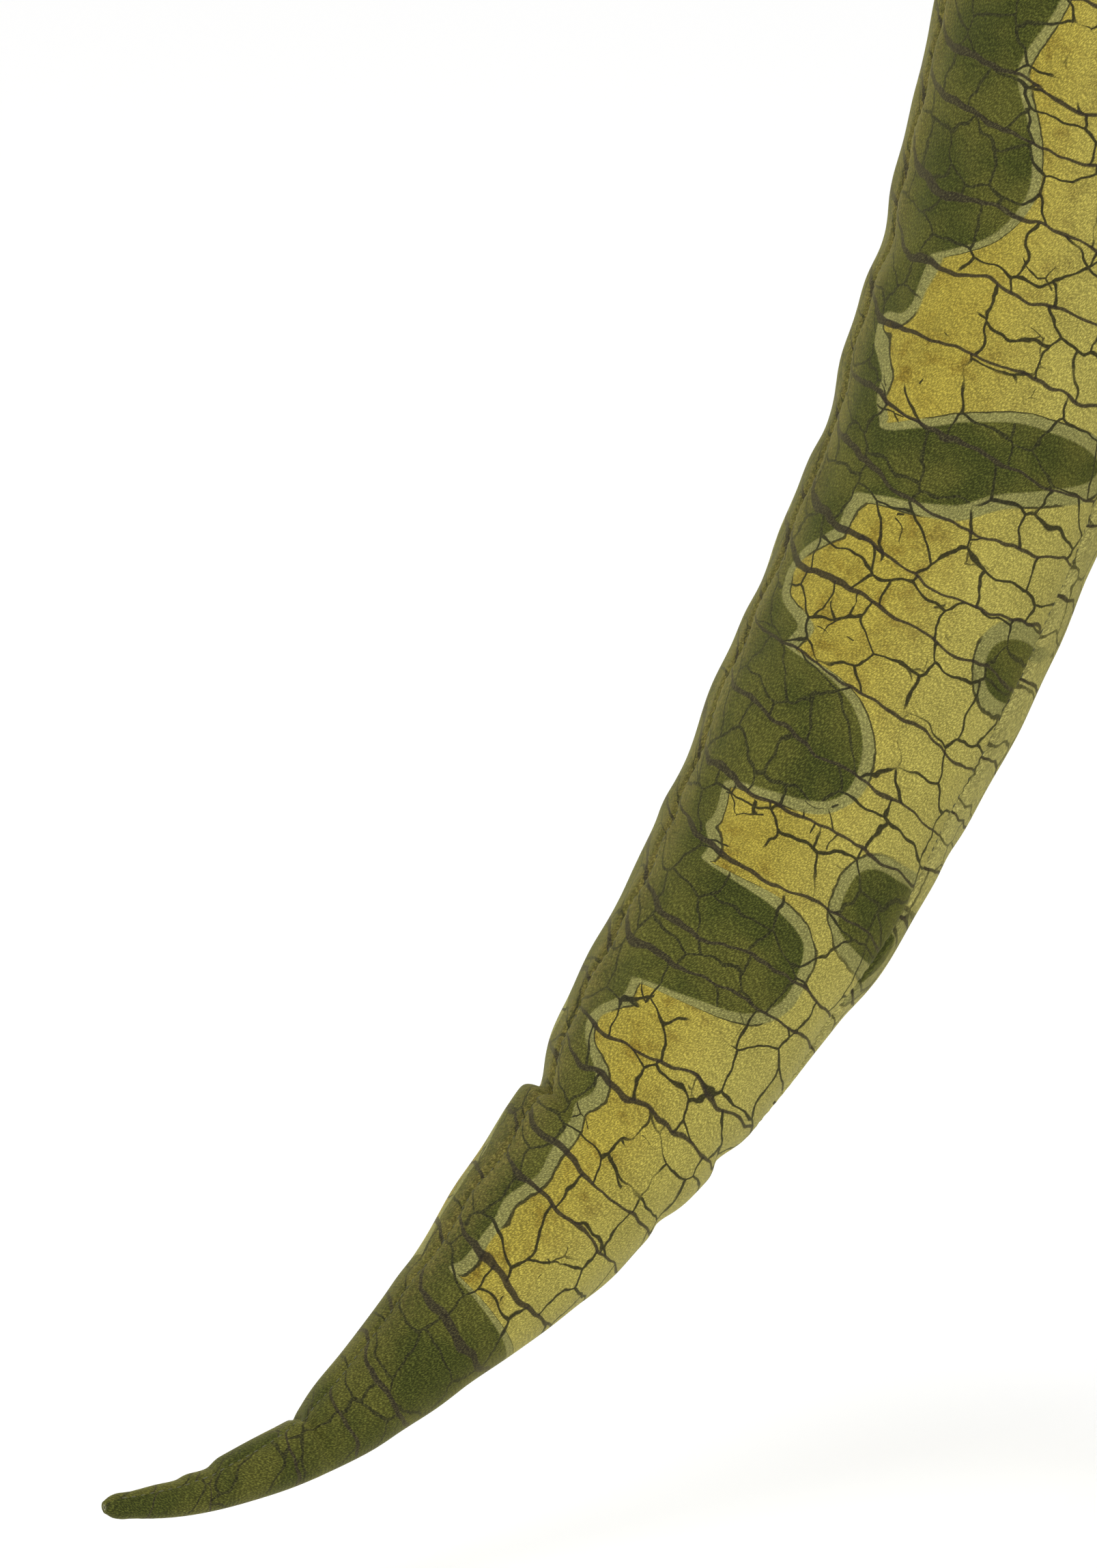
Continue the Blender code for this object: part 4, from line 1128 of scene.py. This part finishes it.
def tail_rows():
    """Distances from the tip of the tail's rows, from the seat: closer towards the tip and at creases."""
    rows = [0.0]
    while rows[-1] < tail_length() * TAIL_HIDDEN_FROM:
        radius = tail_middle(rows[-1])[2] / 2
        rows.append(rows[-1] + np.clip(radius * ROW_STEP, ROW_LEAST, ROW_MOST))
    rows = np.array(rows)
    for crease in TAIL_CREASES:
        if crease.depth < SHARP_CREASE:
            continue
        fine = np.linspace(-CREASE_ROWS_REACH, CREASE_ROWS_REACH, CREASE_ROWS)
        near = (rows > crease.from_tip + fine[0]) & (rows < crease.from_tip + fine[-1])
        rows = np.concatenate([rows[~near], crease.from_tip + fine])
    point = GORE[0].from_tip
    rows = np.append(rows[np.abs(rows - point) > ROW_LEAST / 2], point)
    return np.sort(rows)[::-1]


def tail_places(start, rows):
    """Distances from the tip, rows by lines: the last stretch is drawn out to where each line starts."""
    rows = rows[:, None]
    fixed = tail_length() * TAIL_FREE_FROM
    share = (rows - fixed) / (rows[0] - fixed)
    return np.where(rows > fixed, fixed + share * (start[None] - fixed), rows)


def tail_panel(name, edges, rows, backs, seed, belly, cloth):
    """One panel of the tail. edges gives its two seams' turns in degrees at a distance from the tip."""
    share = np.linspace(0, 1, TAIL_COLUMNS + 1)
    share = mix(share, (1 - np.cos(np.pi * share)) / 2, TAIL_EDGE_CROWDING)
    walls = []
    for inset in (0.0, CLOTH):
        begins, ends = edges(tail_length())
        start = tail_start(mix(begins, ends, share), backs, inset, TAIL_SEAT_GAP)
        s = tail_places(start, rows)
        begins, ends = edges(s)
        radius = tail_middle(s)[..., 2] / 2
        within = radius - np.minimum(CLOTH, radius * TIP_WALL_SHARE)
        squeeze = np.clip(np.degrees(SEAM / 2 / within), 0, TIP_MOST_SQUEEZE)
        turn = mix(begins + squeeze, ends - squeeze, share[None])
        walls.append(tail_point(s, turn, inset))
    girth = np.pi * tail_middle(s)[..., 2] / 2
    facing = (turn + 180) % 360 - 180
    printed = print_place(turn / 180 * girth, s, facing / 180, girth, seed, belly)
    made = wall(f"cloth_{name}", walls[0], walls[1], printed, cloth)
    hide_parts(name)
    return made


def seat_depth(point, backs):
    """Where the filling ends behind the seat."""
    out = point[0] if abs(point[0]) > 2 * SEAM else 2 * SEAM
    origin = np.array([out, BEHIND_SEAT, point[2]])
    found = [tree.ray_cast(origin, (0, -1, 0))[0] for tree in backs]
    return max(p[1] for p in found if p is not None) + FILLING_SEAT_CLEAR


def tail_filling(backs, stuffing):
    """The stuffing inside the tail's panels, closed at both ends."""
    turn = np.linspace(0, 360, FILLING_TURNS + 1)
    inset = CLOTH + FILLING_CLEAR
    rows = tail_rows()[::FILLING_ROWS_APART]
    s = tail_places(tail_start(turn, backs, inset, FILLING_SEAT_CLEAR), rows)
    s = s[s.min(axis=1) > FILLING_TIP]
    skin = tail_point(s, turn, inset)[:, :-1]
    rim = skin[0].mean(axis=0)
    rings = []
    for share in FILLING_SEAT_RINGS:
        flat = rim + (skin[0] - rim) * share
        flat[:, 1] = [seat_depth(p, backs) for p in flat]
        rings.insert(0, flat)
    rings = np.concatenate([np.array(rings), skin])
    count, columns = rings.shape[:2]
    index = np.arange(count * columns).reshape(count, columns)
    faces = []
    for i in range(count - 1):
        for j in range(columns):
            k = (j + 1) % columns
            faces.append([index[i, j], index[i, k], index[i + 1, k], index[i + 1, j]])
    faces.append(index[0][::-1].tolist())
    faces.append(index[-1].tolist())
    made = piece("stuffing_tail", rings.reshape(-1, 3), faces, stuffing)
    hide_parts("tail_filling")
    return made


class Wire:
    """A socket's value in a node tree. Arithmetic on it adds Math nodes."""

    def __init__(self, shop, socket):
        self.shop = shop
        self.socket = socket

    def math(self, operation, *others):
        node = self.shop.add("ShaderNodeMath", {"operation": operation})
        for number, value in enumerate([self, *others]):
            self.shop.put(node.inputs[number], value)
        return Wire(self.shop, node.outputs[0])

    def __add__(self, other):
        return self.math("ADD", other)

    def __radd__(self, other):
        return self.math("ADD", other)

    def __sub__(self, other):
        return self.math("SUBTRACT", other)

    def __rsub__(self, other):
        return (self * -1).math("ADD", other)

    def __mul__(self, other):
        return self.math("MULTIPLY", other)

    def __rmul__(self, other):
        return self.math("MULTIPLY", other)

    def __truediv__(self, other):
        return self.math("DIVIDE", other)

    def __abs__(self):
        return self.math("ABSOLUTE")

    def floor(self):
        return self.math("FLOOR")

    def most(self, other):
        return self.math("MAXIMUM", other)

    def least(self, other):
        return self.math("MINIMUM", other)

    def between(self, low, high):
        """0 at low and 1 at high, on an even S. low may be above high."""
        node = self.shop.add("ShaderNodeMapRange", {"interpolation_type": "SMOOTHSTEP"})
        for key, value in {"Value": self, "From Min": low, "From Max": high}.items():
            self.shop.put(node.inputs[key], value)
        return Wire(self.shop, node.outputs[0])


class Shop:
    """Makes the nodes of one material's tree."""

    def __init__(self, tree):
        self.tree = tree

    def put(self, socket, value):
        if isinstance(value, Wire):
            self.tree.links.new(value.socket, socket)
        elif hasattr(value, "__len__") and len(value) == 3 and socket.type == "RGBA":
            socket.default_value = (*value, 1)
        else:
            socket.default_value = value

    def add(self, kind, settings=None, sockets=None):
        node = self.tree.nodes.new(kind)
        for key, value in (settings or {}).items():
            setattr(node, key, value)
        for key, value in (sockets or {}).items():
            named = [s for s in node.inputs if s.identifier == key] or [node.inputs[key]]
            self.put(named[0], value)
        return node

    def wire(self, node, output):
        named = [s for s in node.outputs if s.identifier == output] or [node.outputs[output]]
        return Wire(self, named[0])

    def attribute(self, name):
        node = self.add("ShaderNodeAttribute", {"attribute_name": name})
        return self.wire(node, "Vector")

    def parts(self, vector):
        node = self.add("ShaderNodeSeparateXYZ", sockets={"Vector": vector})
        return [self.wire(node, axis) for axis in "XYZ"]

    def vector(self, x, y, z=0.0):
        node = self.add("ShaderNodeCombineXYZ", sockets={"X": x, "Y": y, "Z": z})
        return self.wire(node, "Vector")

    def noise(self, vector, size, detail=2.0, roughness=0.5):
        """An even noise from about 0 to 1, whose swells are about size across."""
        node = self.add(
            "ShaderNodeTexNoise",
            sockets={"Vector": vector, "Scale": 1 / size, "Detail": detail, "Roughness": roughness},
        )
        return self.wire(node, "Fac")

    def sway(self, vector, size, far, detail=0.0):
        """An uneven swing either way, whose swells are about size across and span about far."""
        return (self.noise(vector, size, detail) - 0.5) * far

    def cell_edge(self, vector, size):
        """How far a place lies from the nearest border of cells about size across."""
        node = self.add(
            "ShaderNodeTexVoronoi",
            {"feature": "DISTANCE_TO_EDGE", "voronoi_dimensions": "2D"},
            {"Vector": vector, "Scale": 1 / size, "Randomness": 0.85},
        )
        return self.wire(node, "Distance") * size

    def chance(self, number):
        node = self.add("ShaderNodeTexWhiteNoise", {"noise_dimensions": "1D"}, {"W": number})
        return self.wire(node, "Value")

    def colour_mix(self, factor, a, b, how="MIX"):
        node = self.add(
            "ShaderNodeMix",
            {"data_type": "RGBA", "blend_type": how},
            {"Factor_Float": factor, "A_Color": a, "B_Color": b},
        )
        return self.wire(node, "Result_Color")


# Added to how far a piece is belly cloth on the side of the cloth that isn't printed
WRONG_SIDE = 2.0

# Colours of the printed velour
GOLD = (0.298, 0.241, 0.039)
BROWN_GOLD = (0.178, 0.124, 0.016)
PALE_GOLD = (0.310, 0.273, 0.066)
PALE_BELLY = (0.302, 0.277, 0.094)
SAGE = (0.200, 0.190, 0.062)
GREEN = (0.034, 0.040, 0.006)
OLIVE = (0.070, 0.069, 0.012)
SPINE_OLIVE = (0.112, 0.092, 0.022)
CRACK = (0.016, 0.015, 0.007)
RING_BROWN = (0.026, 0.020, 0.013)
# A painted highlight: the colour of glinting fibres, added on the green
PAINTED_NAP_GLINT = (0.060, 0.062, 0.016)
BACKING = (0.330, 0.320, 0.215)

# Sizes of the print in millimetres
RING_PITCH = 24.0
RING_HALF = 0.75
RING_THICK_HALF = 1.25
RING_THIN_HALF = 0.60
RING_SWOOP = (9.0, 7.0)
RING_LEAN = (-6.0, 14.0, 34.0)
RING_LEAN_OVER = (150.0, 430.0)
RING_TAPER = (14.0, 54.0)
RING_FREE_OF_TIP = (40.0, 150.0)
SCALE_CELL = 19.0
SMALL_CELL = 11.0
BRANCH_LONG = 7.0
CRACK_HALF = 0.54
SAGE_WIDE = 4.6
LOBE_SIZE = 58.0
TIP_GREEN = 128.0
FAR_PAST_TIP = 300.0
PILE_ROW = 1.25


def print_lines(shop, across, along, seed, from_spine, closed):
    """The dark lines of the print: rings across and cracks between them. The cracks close small cells
    where closed is 1. Gives how dark the rings and the cracks are. The odd numbers beside seed, band and
    nearest only set the patterns of pieces, bands and rings apart."""
    side = across.math("SIGN")
    spot = shop.vector(across, along, seed * 37)
    other = shop.vector(along, across, seed * 53 + 9)
    kinks = shop.sway(spot, 2.8, 0.9)
    sway_u = shop.sway(spot, 15.0, 8.0) + shop.sway(spot, 5.5, 3.0)
    sway_v = shop.sway(other, 15.0, 8.0) + shop.sway(other, 5.5, 3.0)
    wide = shop.sway(other, 60.0, 16.0)

    swoop_left = (from_spine / -RING_SWOOP[1]).math("EXPONENT")
    lean_left = (from_spine / -RING_LEAN[2]).math("EXPONENT")
    lean = RING_LEAN[0] + (RING_LEAN[1] - RING_LEAN[0]) * along.between(*RING_LEAN_OVER)
    bend = RING_SWOOP[0] * (1 - swoop_left) + lean * (1 - lean_left)
    steep = swoop_left * (RING_SWOOP[0] / RING_SWOOP[1]) + lean_left * lean / RING_LEAN[2]
    row = (along + side * bend + sway_v * 0.7 + wide) / RING_PITCH + seed * 7.3
    nearest = (row + 0.5).floor()
    off_ring = row - nearest - (shop.chance(nearest) - 0.5) * 0.52
    from_ring = abs(off_ring) * RING_PITCH / (1 + steep * steep).math("SQRT")
    band = nearest - 1 + off_ring.math("GREATER_THAN", 0.0)
    reach = from_spine * (0.75 + shop.chance(nearest + 11.7) * 0.7)
    swell = RING_HALF + (RING_THICK_HALF - RING_HALF) * from_spine.between(2.0, 16.0)
    swell = swell * (0.55 + shop.noise(spot, 9.0, 0.0) * 0.3 + shop.chance(nearest + 4.1) * 0.65)
    thinned = reach.between(*RING_TAPER)
    ring_half = swell * (1 - thinned) + RING_THIN_HALF * thinned
    ring_half = ring_half * (0.30 + 0.70 * along.between(*RING_FREE_OF_TIP))
    ring = (from_ring - ring_half).between(0.20, -0.24)

    # Each band between two rings has cells of its own, so its cracks end at the rings
    u = across + sway_u + kinks + band * 71.3
    v = along + side * bend + sway_v - kinks * 0.7 + seed * 91
    scales = shop.cell_edge(shop.vector(u, v), SCALE_CELL)
    kept = shop.noise(spot, 23.0, 0.0).between(0.33, 0.42).most(closed)
    half = CRACK_HALF * (0.85 + shop.noise(spot, 6.0, 0.0) * 0.3)
    crack = (scales - half * kept).between(0.16, -0.18) * kept
    from_line = from_ring.least(scales + (1 - kept) * 40)
    small = shop.cell_edge(shop.vector(u + 40.7, v + sway_u * 0.3), SMALL_CELL)
    forked = shop.noise(spot, 17.0, 0.0).math("GREATER_THAN", 0.64) * (1 - closed)
    thinning = (1 - from_line / BRANCH_LONG).most(0.0).math("SQRT") * forked
    branch = (small - half * 0.9 * thinning).between(0.14, -0.16) * forked
    return ring, crack.most(branch)


def past_green(shop, across, along, seed, from_spine, girth):
    """How far past the spine's green a place lies, in millimetres straight away from the spine line."""
    lobe = shop.noise(shop.vector(across * 0.42, along, seed * 19 + 2.2), LOBE_SIZE, 0.0)
    wave = shop.sway(shop.vector(across, along, seed * 23), 15.0, 12.0)
    reach = 0.090 + 0.085 * lobe.between(0.33, 0.44) + 0.62 * lobe.between(0.54, 0.66)
    tip = along.between(TIP_GREEN + 18, TIP_GREEN - 2)
    return from_spine - (girth * reach + wave + tip * FAR_PAST_TIP)


def new_material(name):
    """A material, the maker of its nodes and its shader."""
    made = bpy.data.materials.new(name)
    made.use_nodes = True
    return made, Shop(made.node_tree), made.node_tree.nodes["Principled BSDF"]


def printed_velour(name):
    """Velour printed as reptile skin: green along the spine with lobes towards the belly, sage borders,
    mottled gold scales with dark cracks, and tapering rings across."""
    made, shop, shader = new_material(name)
    across, along, seed = shop.parts(shop.attribute("place"))
    share, girth, kind = shop.parts(shop.attribute("reach"))
    from_spine = share * girth
    wrong_side = kind.between(0.60 * WRONG_SIDE, 0.95 * WRONG_SIDE)
    belly = kind - wrong_side * WRONG_SIDE
    spot = shop.vector(across, along, seed * 37)

    # The distance from the green's edge, evened out by the slope of its outline
    here = past_green(shop, across, along, seed, from_spine, girth)
    over = past_green(shop, across + across.math("SIGN"), along, seed, from_spine + 1.0, girth) - here
    up = past_green(shop, across, along + 1.0, seed, from_spine, girth) - here
    slope = (over * over + up * up).math("SQRT").most(0.3)
    off_green = here / slope
    jag = shop.sway(spot, 3.0, 1.4, 1.0)
    in_green = off_green.between(0.45, -0.45)
    closed = share.between(0.42, 0.60).most(belly).most(in_green)
    ring, crack = print_lines(shop, across, along, seed, from_spine, closed)
    sage_wide = SAGE_WIDE * (0.65 + shop.noise(spot, 24.0, 0.0) * 0.7)
    in_sage = (off_green - sage_wide).between(0.5, -0.5)
    outline = abs(off_green - sage_wide + jag).between(0.66, 0.34)
    outline = outline * shop.noise(spot, 21.0, 0.0).between(0.36, 0.44)

    # Colours
    mottle = shop.noise(spot, 7.0, 4.0, 0.66).between(0.45, 0.68)
    patches = shop.noise(spot, 24.0, 1.0).between(0.35, 0.62)
    gold = shop.colour_mix(mottle * (0.30 + 0.65 * patches), GOLD, BROWN_GOLD)
    paling = (share.between(0.28, 0.60) * 0.9).most(belly)
    gold = shop.colour_mix(paling, gold, PALE_GOLD)
    gold = shop.colour_mix(share.between(0.55, 0.95).most(belly * 0.75), gold, PALE_BELLY)
    dark = shop.colour_mix(shop.noise(spot, 22.0, 3.0).between(0.36, 0.64), GREEN, OLIVE)
    flecks = shop.noise(spot, 2.2, 3.0, 0.7).between(0.36, 0.62)
    by_spine = from_spine.between(18.0, 0.0) * along.between(70.0, 170.0)
    dark = shop.colour_mix(by_spine * (0.35 + flecks * 0.65), dark, SPINE_OLIVE)
    skin = shop.colour_mix(in_sage, gold, SAGE)
    skin = shop.colour_mix(in_green, skin, dark)
    lines = crack.most(outline * 0.9) * (1 - in_green * 0.12)
    skin = shop.colour_mix(lines * (0.94 - 0.2 * belly), skin, CRACK)
    skin = shop.colour_mix(ring * 0.92, skin, RING_BROWN)
    skin = shop.colour_mix(wrong_side * 0.74, skin, BACKING)

    # The nap: slanting fibres, clumped fibres, brushed patches and rows of pile. In the colour, all but the
    # rows of pile are painted light
    slant = shop.vector(across * 0.82 - along * 0.57, (across * 0.57 + along * 0.82) * 0.34, seed)
    nap = shop.noise(slant, 0.34, 1.0, 0.6)
    clumps_and_painted_shade = shop.noise(spot, 1.1, 2.0, 0.6)
    glint = nap.between(0.40, 0.74)
    painted_brushed_sheen = shop.noise(shop.vector(across, along * 0.6, seed), 14.0, 3.0)
    # Painted light: painted highlights where fibres glint, painted light and shade over clumped fibres, and
    # painted sheen on brushed patches
    light = 0.60 + glint * 0.86 + (clumps_and_painted_shade - 0.5) * 0.46 + (painted_brushed_sheen - 0.5) * 0.40
    skin = shop.colour_mix(1.0, skin, shop.vector(light, light, light * 0.96), "MULTIPLY")
    # Painted highlight: the glints of the fibres, added on the green
    skin = shop.colour_mix(glint * clumps_and_painted_shade * in_green, skin, PAINTED_NAP_GLINT, "ADD")
    pile = (along * (2 * math.pi / PILE_ROW)).math("SINE")
    height = nap + clumps_and_painted_shade * 0.7 + pile * 0.2
    bump = shop.add("ShaderNodeBump", sockets={"Strength": 0.5, "Distance": 0.0005, "Height": height})
    shop.put(shader.inputs["Base Color"], skin)
    shop.put(shader.inputs["Roughness"], 0.60 + glint * 0.25)
    shop.put(shader.inputs["Normal"], shop.wire(bump, "Normal"))
    shader.inputs["Sheen Weight"].default_value = 0.20
    shader.inputs["Sheen Roughness"].default_value = 0.40
    shader.inputs["Sheen Tint"].default_value = (0.80, 0.74, 0.22, 1)
    shader.inputs["Specular IOR Level"].default_value = 0.07
    return made


def thread_material():
    """Dark olive sewing thread with its twist."""
    made, shop, shader = new_material("dark olive thread")
    coordinates = shop.wire(shop.add("ShaderNodeTexCoord"), "Object")
    twist = shop.noise(coordinates, 0.0006, 2.0)
    colour = shop.colour_mix(twist, (0.030, 0.032, 0.010), (0.085, 0.085, 0.030))
    shop.put(shader.inputs["Base Color"], colour)
    shop.put(shader.inputs["Roughness"], 0.5 + twist * 0.3)
    return made


def stuffing_material():
    """White polyester fibre."""
    made, shop, shader = new_material("white polyester stuffing")
    coordinates = shop.wire(shop.add("ShaderNodeTexCoord"), "Object")
    fibre = shop.noise(coordinates, 0.004, 4.0, 0.7)
    colour = shop.colour_mix(fibre, (0.70, 0.70, 0.67), (0.90, 0.90, 0.87))
    shop.put(shader.inputs["Base Color"], colour)
    bump = shop.add("ShaderNodeBump", sockets={"Strength": 0.6, "Distance": 0.002, "Height": fibre})
    shop.put(shader.inputs["Normal"], shop.wire(bump, "Normal"))
    shader.inputs["Roughness"].default_value = 0.95
    return made


def floor_material():
    """A plain pale studio floor."""
    made, _, shader = new_material("pale studio floor")
    shader.inputs["Base Color"].default_value = (0.96, 0.96, 0.955, 1)
    shader.inputs["Roughness"].default_value = 0.9
    return made


def stitch_tree(thread):
    """Geometry Nodes that lay stitches along lines of points."""
    tree = bpy.data.node_groups.new("stitches along a line", "GeometryNodeTree")
    face = tree.interface
    face.new_socket("Line", in_out="INPUT", socket_type="NodeSocketGeometry")
    for name, value in (
        ("Pitch", STITCH_PITCH),
        ("Stitch length", STITCH_LONG),
        ("Thread thickness", STITCH_THICK),
    ):
        made = face.new_socket(name, in_out="INPUT", socket_type="NodeSocketFloat")
        made.default_value = value
    face.new_socket("Stitches", in_out="OUTPUT", socket_type="NodeSocketGeometry")
    shop = Shop(tree)
    given = shop.add("NodeGroupInput")
    pitch = shop.wire(given, "Pitch")
    long, thick = shop.wire(given, "Stitch length"), shop.wire(given, "Thread thickness")
    line = shop.add("GeometryNodeMeshToCurve", sockets={"Mesh": shop.wire(given, "Line")})
    even = shop.add(
        "GeometryNodeResampleCurve",
        {"mode": "LENGTH"},
        {"Curve": shop.wire(line, "Curve"), "Length": pitch},
    )
    ball = shop.add("GeometryNodeMeshUVSphere", sockets={"Segments": 6, "Rings": 4, "Radius": 0.5})
    stitch = shop.add(
        "GeometryNodeTransform",
        sockets={"Geometry": shop.wire(ball, "Mesh"), "Scale": shop.vector(long, thick, thick)},
    )
    tangent = shop.wire(shop.add("GeometryNodeInputTangent"), "Tangent")
    aligned = shop.add("FunctionNodeAlignRotationToVector", {"axis": "X"}, {"Vector": tangent})
    uneven = shop.add(
        "FunctionNodeRandomValue",
        {"data_type": "FLOAT"},
        {"Min_001": 0.82, "Max_001": 1.12, "Seed": 7},
    )
    laid = shop.add(
        "GeometryNodeInstanceOnPoints",
        sockets={
            "Points": shop.wire(even, "Curve"),
            "Instance": shop.wire(stitch, "Geometry"),
            "Rotation": shop.wire(aligned, "Rotation"),
            "Scale": shop.wire(uneven, "Value_001"),
        },
    )
    real = shop.add("GeometryNodeRealizeInstances", sockets={"Geometry": shop.wire(laid, "Instances")})
    painted = shop.add(
        "GeometryNodeSetMaterial",
        sockets={"Geometry": shop.wire(real, "Geometry"), "Material": thread},
    )
    shop.add("NodeGroupOutput", sockets={"Stitches": shop.wire(painted, "Geometry")})
    return tree


def stitches(name, lines, tree):
    """Stitches along each line of points, as one plain mesh."""
    points, edges = [], []
    for line in lines:
        first = len(points)
        points.extend(np.asarray(line).tolist())
        edges.extend((k, k + 1) for k in range(first, len(points) - 1))
    data = bpy.data.meshes.new(name)
    data.from_pydata(points, edges, [])
    guide = placed(name + "_line", data)
    modifier = guide.modifiers.new("stitches", "NODES")
    modifier.node_group = tree
    wanted = {"Pitch": STITCH_PITCH, "Stitch length": STITCH_LONG, "Thread thickness": STITCH_THICK}
    for socket in tree.interface.items_tree:
        if socket.in_out == "INPUT" and socket.name in wanted:
            modifier[socket.identifier] = wanted[socket.name]
    bpy.context.view_layer.update()
    graph = bpy.context.evaluated_depsgraph_get()
    mesh = bpy.data.meshes.new_from_object(guide.evaluated_get(graph))
    guide.modifiers.remove(modifier)
    bpy.data.objects.remove(guide)
    mesh.shade_smooth()
    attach(placed(name, mesh), "root")


def grid_line(grid, off, edge, centre):
    """The line on a grid that runs off from its edge, with its thread a little sunk in the cloth."""
    distance, _ = edge_measures(grid)[edge]
    thread_at = grid + outward(grid, centre) * STITCH_THICK * STITCH_SUNK
    if edge in ("first", "last"):
        distance, thread_at = distance.T, thread_at.transpose(1, 0, 2)
    points = []
    for at, strand in zip(distance, thread_at):
        order = np.argsort(at)
        points.append([np.interp(off, at[order], strand[order, axis]) for axis in range(3)])
    return np.array(points)


def tail_seam_line(turn_at, start, backs):
    """The line along the bottom of a seam's groove, from its start to the seat."""
    s = np.arange(start, tail_length() * TAIL_STITCH_END, TAIL_STITCH_STEP)
    line = tail_point(s, turn_at(s))
    clear = [clearance(point, backs) > TAIL_STITCH_CLEAR for point in line]
    return line[: clear.index(False)] if False in clear else line


def tree_of(made):
    graph = bpy.context.evaluated_depsgraph_get()
    return BVHTree.FromObject(made, graph)


def camera():
    """The photograph's view: low from the wearer's right and behind, through a long lens."""
    distance = 6.0
    shown = 0.50512
    aim = Vector((0, 0.4045, 0.268 - HOLD_HEIGHT))
    around, above = math.radians(-118), math.radians(8)
    level = math.cos(above)
    back = Vector((math.sin(around) * level, -math.cos(around) * level, math.sin(above)))
    data = bpy.data.cameras.new("long lens")
    data.lens = 36 * distance / shown
    data.sensor_width = 36
    data.clip_end = 60
    eye = placed("long lens", data)
    eye.location = aim + back * distance
    eye.rotation_euler = back.to_track_quat("Z", "Y").to_euler()
    bpy.context.scene.camera = eye


def softbox(name, place, aim, size, power):
    data = bpy.data.lights.new(name, "AREA")
    data.shape = "DISK"
    data.size = size
    data.energy = power
    light = placed(name, data)
    light.location = place
    light.rotation_euler = (Vector(place) - Vector(aim)).to_track_quat("Z", "Y").to_euler()


def studio():
    """A pale floor, a white surround and large soft lights."""
    radius, sides = 14.0, 64
    turns = [2 * math.pi * k / sides for k in range(sides)]
    ring = [(radius * math.cos(turn), radius * math.sin(turn), -HOLD_HEIGHT) for turn in turns]
    data = bpy.data.meshes.new("studio_floor")
    data.from_pydata(ring, [], [list(range(sides))])
    data.materials.append(floor_material())
    placed("studio_floor", data)
    world = bpy.data.worlds.new("white surround")
    world.use_nodes = True
    surround = world.node_tree.nodes["Background"]
    surround.inputs["Color"].default_value = (1, 1, 1, 1)
    surround.inputs["Strength"].default_value = 1.0
    bpy.context.scene.world = world
    aim = (0, 0.35, -0.75)
    softbox("key softbox", (-2.6, 2.4, 1.4), aim, 1.8, 55)
    softbox("fill softbox", (-3.0, -1.0, 0.2), aim, 2.2, 26)
    softbox("rim softbox", (1.8, 2.4, 1.2), aim, 1.6, 22)
    bpy.context.scene.view_settings.view_transform = "Standard"


camera()
velour = printed_velour("printed velour")
belly_velour = printed_velour("pale printed velour")
thread = thread_material()
stuffing = stuffing_material()

panels, fronts, back_grids = {}, {}, {}
for side in SIDES:
    panels["front", side], fronts[side] = body_panel(side, "front", velour)
    panels["back", side], back_grids[side] = body_panel(side, "back", velour)
bpy.context.view_layer.update()
backs = [tree_of(panels["back", side]) for side in SIDES]
sleeves = {side: sleeve(side, velour) for side in SIDES}
placket, placket_grid = front_placket(fronts[1], velour)
hoods = {side: hood_side(side, fronts[1], back_grids[1], velour) for side in SIDES}
hood_strip, hood_strip_grid = hood_centre(back_grids[1], velour)

rows = tail_rows()
gore_tip = GORE[0].from_tip
gore_rows = rows[rows >= gore_tip]
tail_right = tail_panel(
    "tail_side_right", lambda s: (spine(s), 180 - gore_half(s)), rows, backs, 1.0, 0.0, velour
)
tail_left = tail_panel(
    "tail_side_left", lambda s: (gore_half(s) - 180, spine(s)), rows, backs, 2.0, 0.0, velour
)
tail_under = tail_panel(
    "tail_underside",
    lambda s: (180 - gore_half(s), 180 + gore_half(s)),
    gore_rows,
    backs,
    1.5,
    1.0,
    belly_velour,
)
filling = tail_filling(backs, stuffing)

tree = stitch_tree(thread)
seam_lines = [
    tail_seam_line(spine, TAIL_STITCH_TIP, backs),
    tail_seam_line(lambda s: 180 - gore_half(s), gore_tip, backs),
    tail_seam_line(lambda s: gore_half(s) - 180, gore_tip, backs),
    tail_point(np.arange(TAIL_STITCH_TIP, gore_tip, TAIL_STITCH_STEP), 180.0),
]
hem_lines, cuff_lines, face_lines, placket_lines = [], [], [], []
for side in SIDES:
    mirror = np.array([side, 1, 1])
    for off in HEM_STITCH_AT:
        for grid in (fronts[side], back_grids[side]):
            middle = (LEG_MIDDLE, 0, grid[0, 0, 2])
            hem_lines.append(grid_line(grid, off, "first", middle) * mirror)
        cuff = sleeves[side][1][-CUFF_ROWS:]
        ring = grid_line(cuff, off, "last", cuff[-1].mean(axis=0))
        cuff_lines.append(np.concatenate([ring, ring[:1]]))
        face_lines.append(grid_line(hoods[side][1], off, "last", HEAD_MIDDLE))
for off in HEM_STITCH_AT:
    face_lines.append(grid_line(hood_strip_grid, off, "last", HEAD_MIDDLE))
for edge in ("centre", "side"):
    placket_lines.append(grid_line(placket_grid, PLACKET_STITCH_AT, edge, BEHIND_PLACKET))
for sewn, lines in {
    "tail_seams": seam_lines,
    "leg_hems": hem_lines,
    "cuffs": cuff_lines,
    "face_edge": face_lines,
    "placket": placket_lines,
}.items():
    stitches(f"stitching_{sewn}", lines, tree)


class Cut(NamedTuple):
    """A piece's flat cut in metres: width, length and area in square metres."""

    width: float
    length: float
    area: float


hung = []
for side in SIDES:
    hung += [(panels[facing, side], facing) for facing in ("front", "back")]
    hung += [(sleeves[side][0], "sleeve"), (hoods[side][0], "hood side")]
hung += [(placket, "placket"), (hood_strip, "hood centre")]

studio()
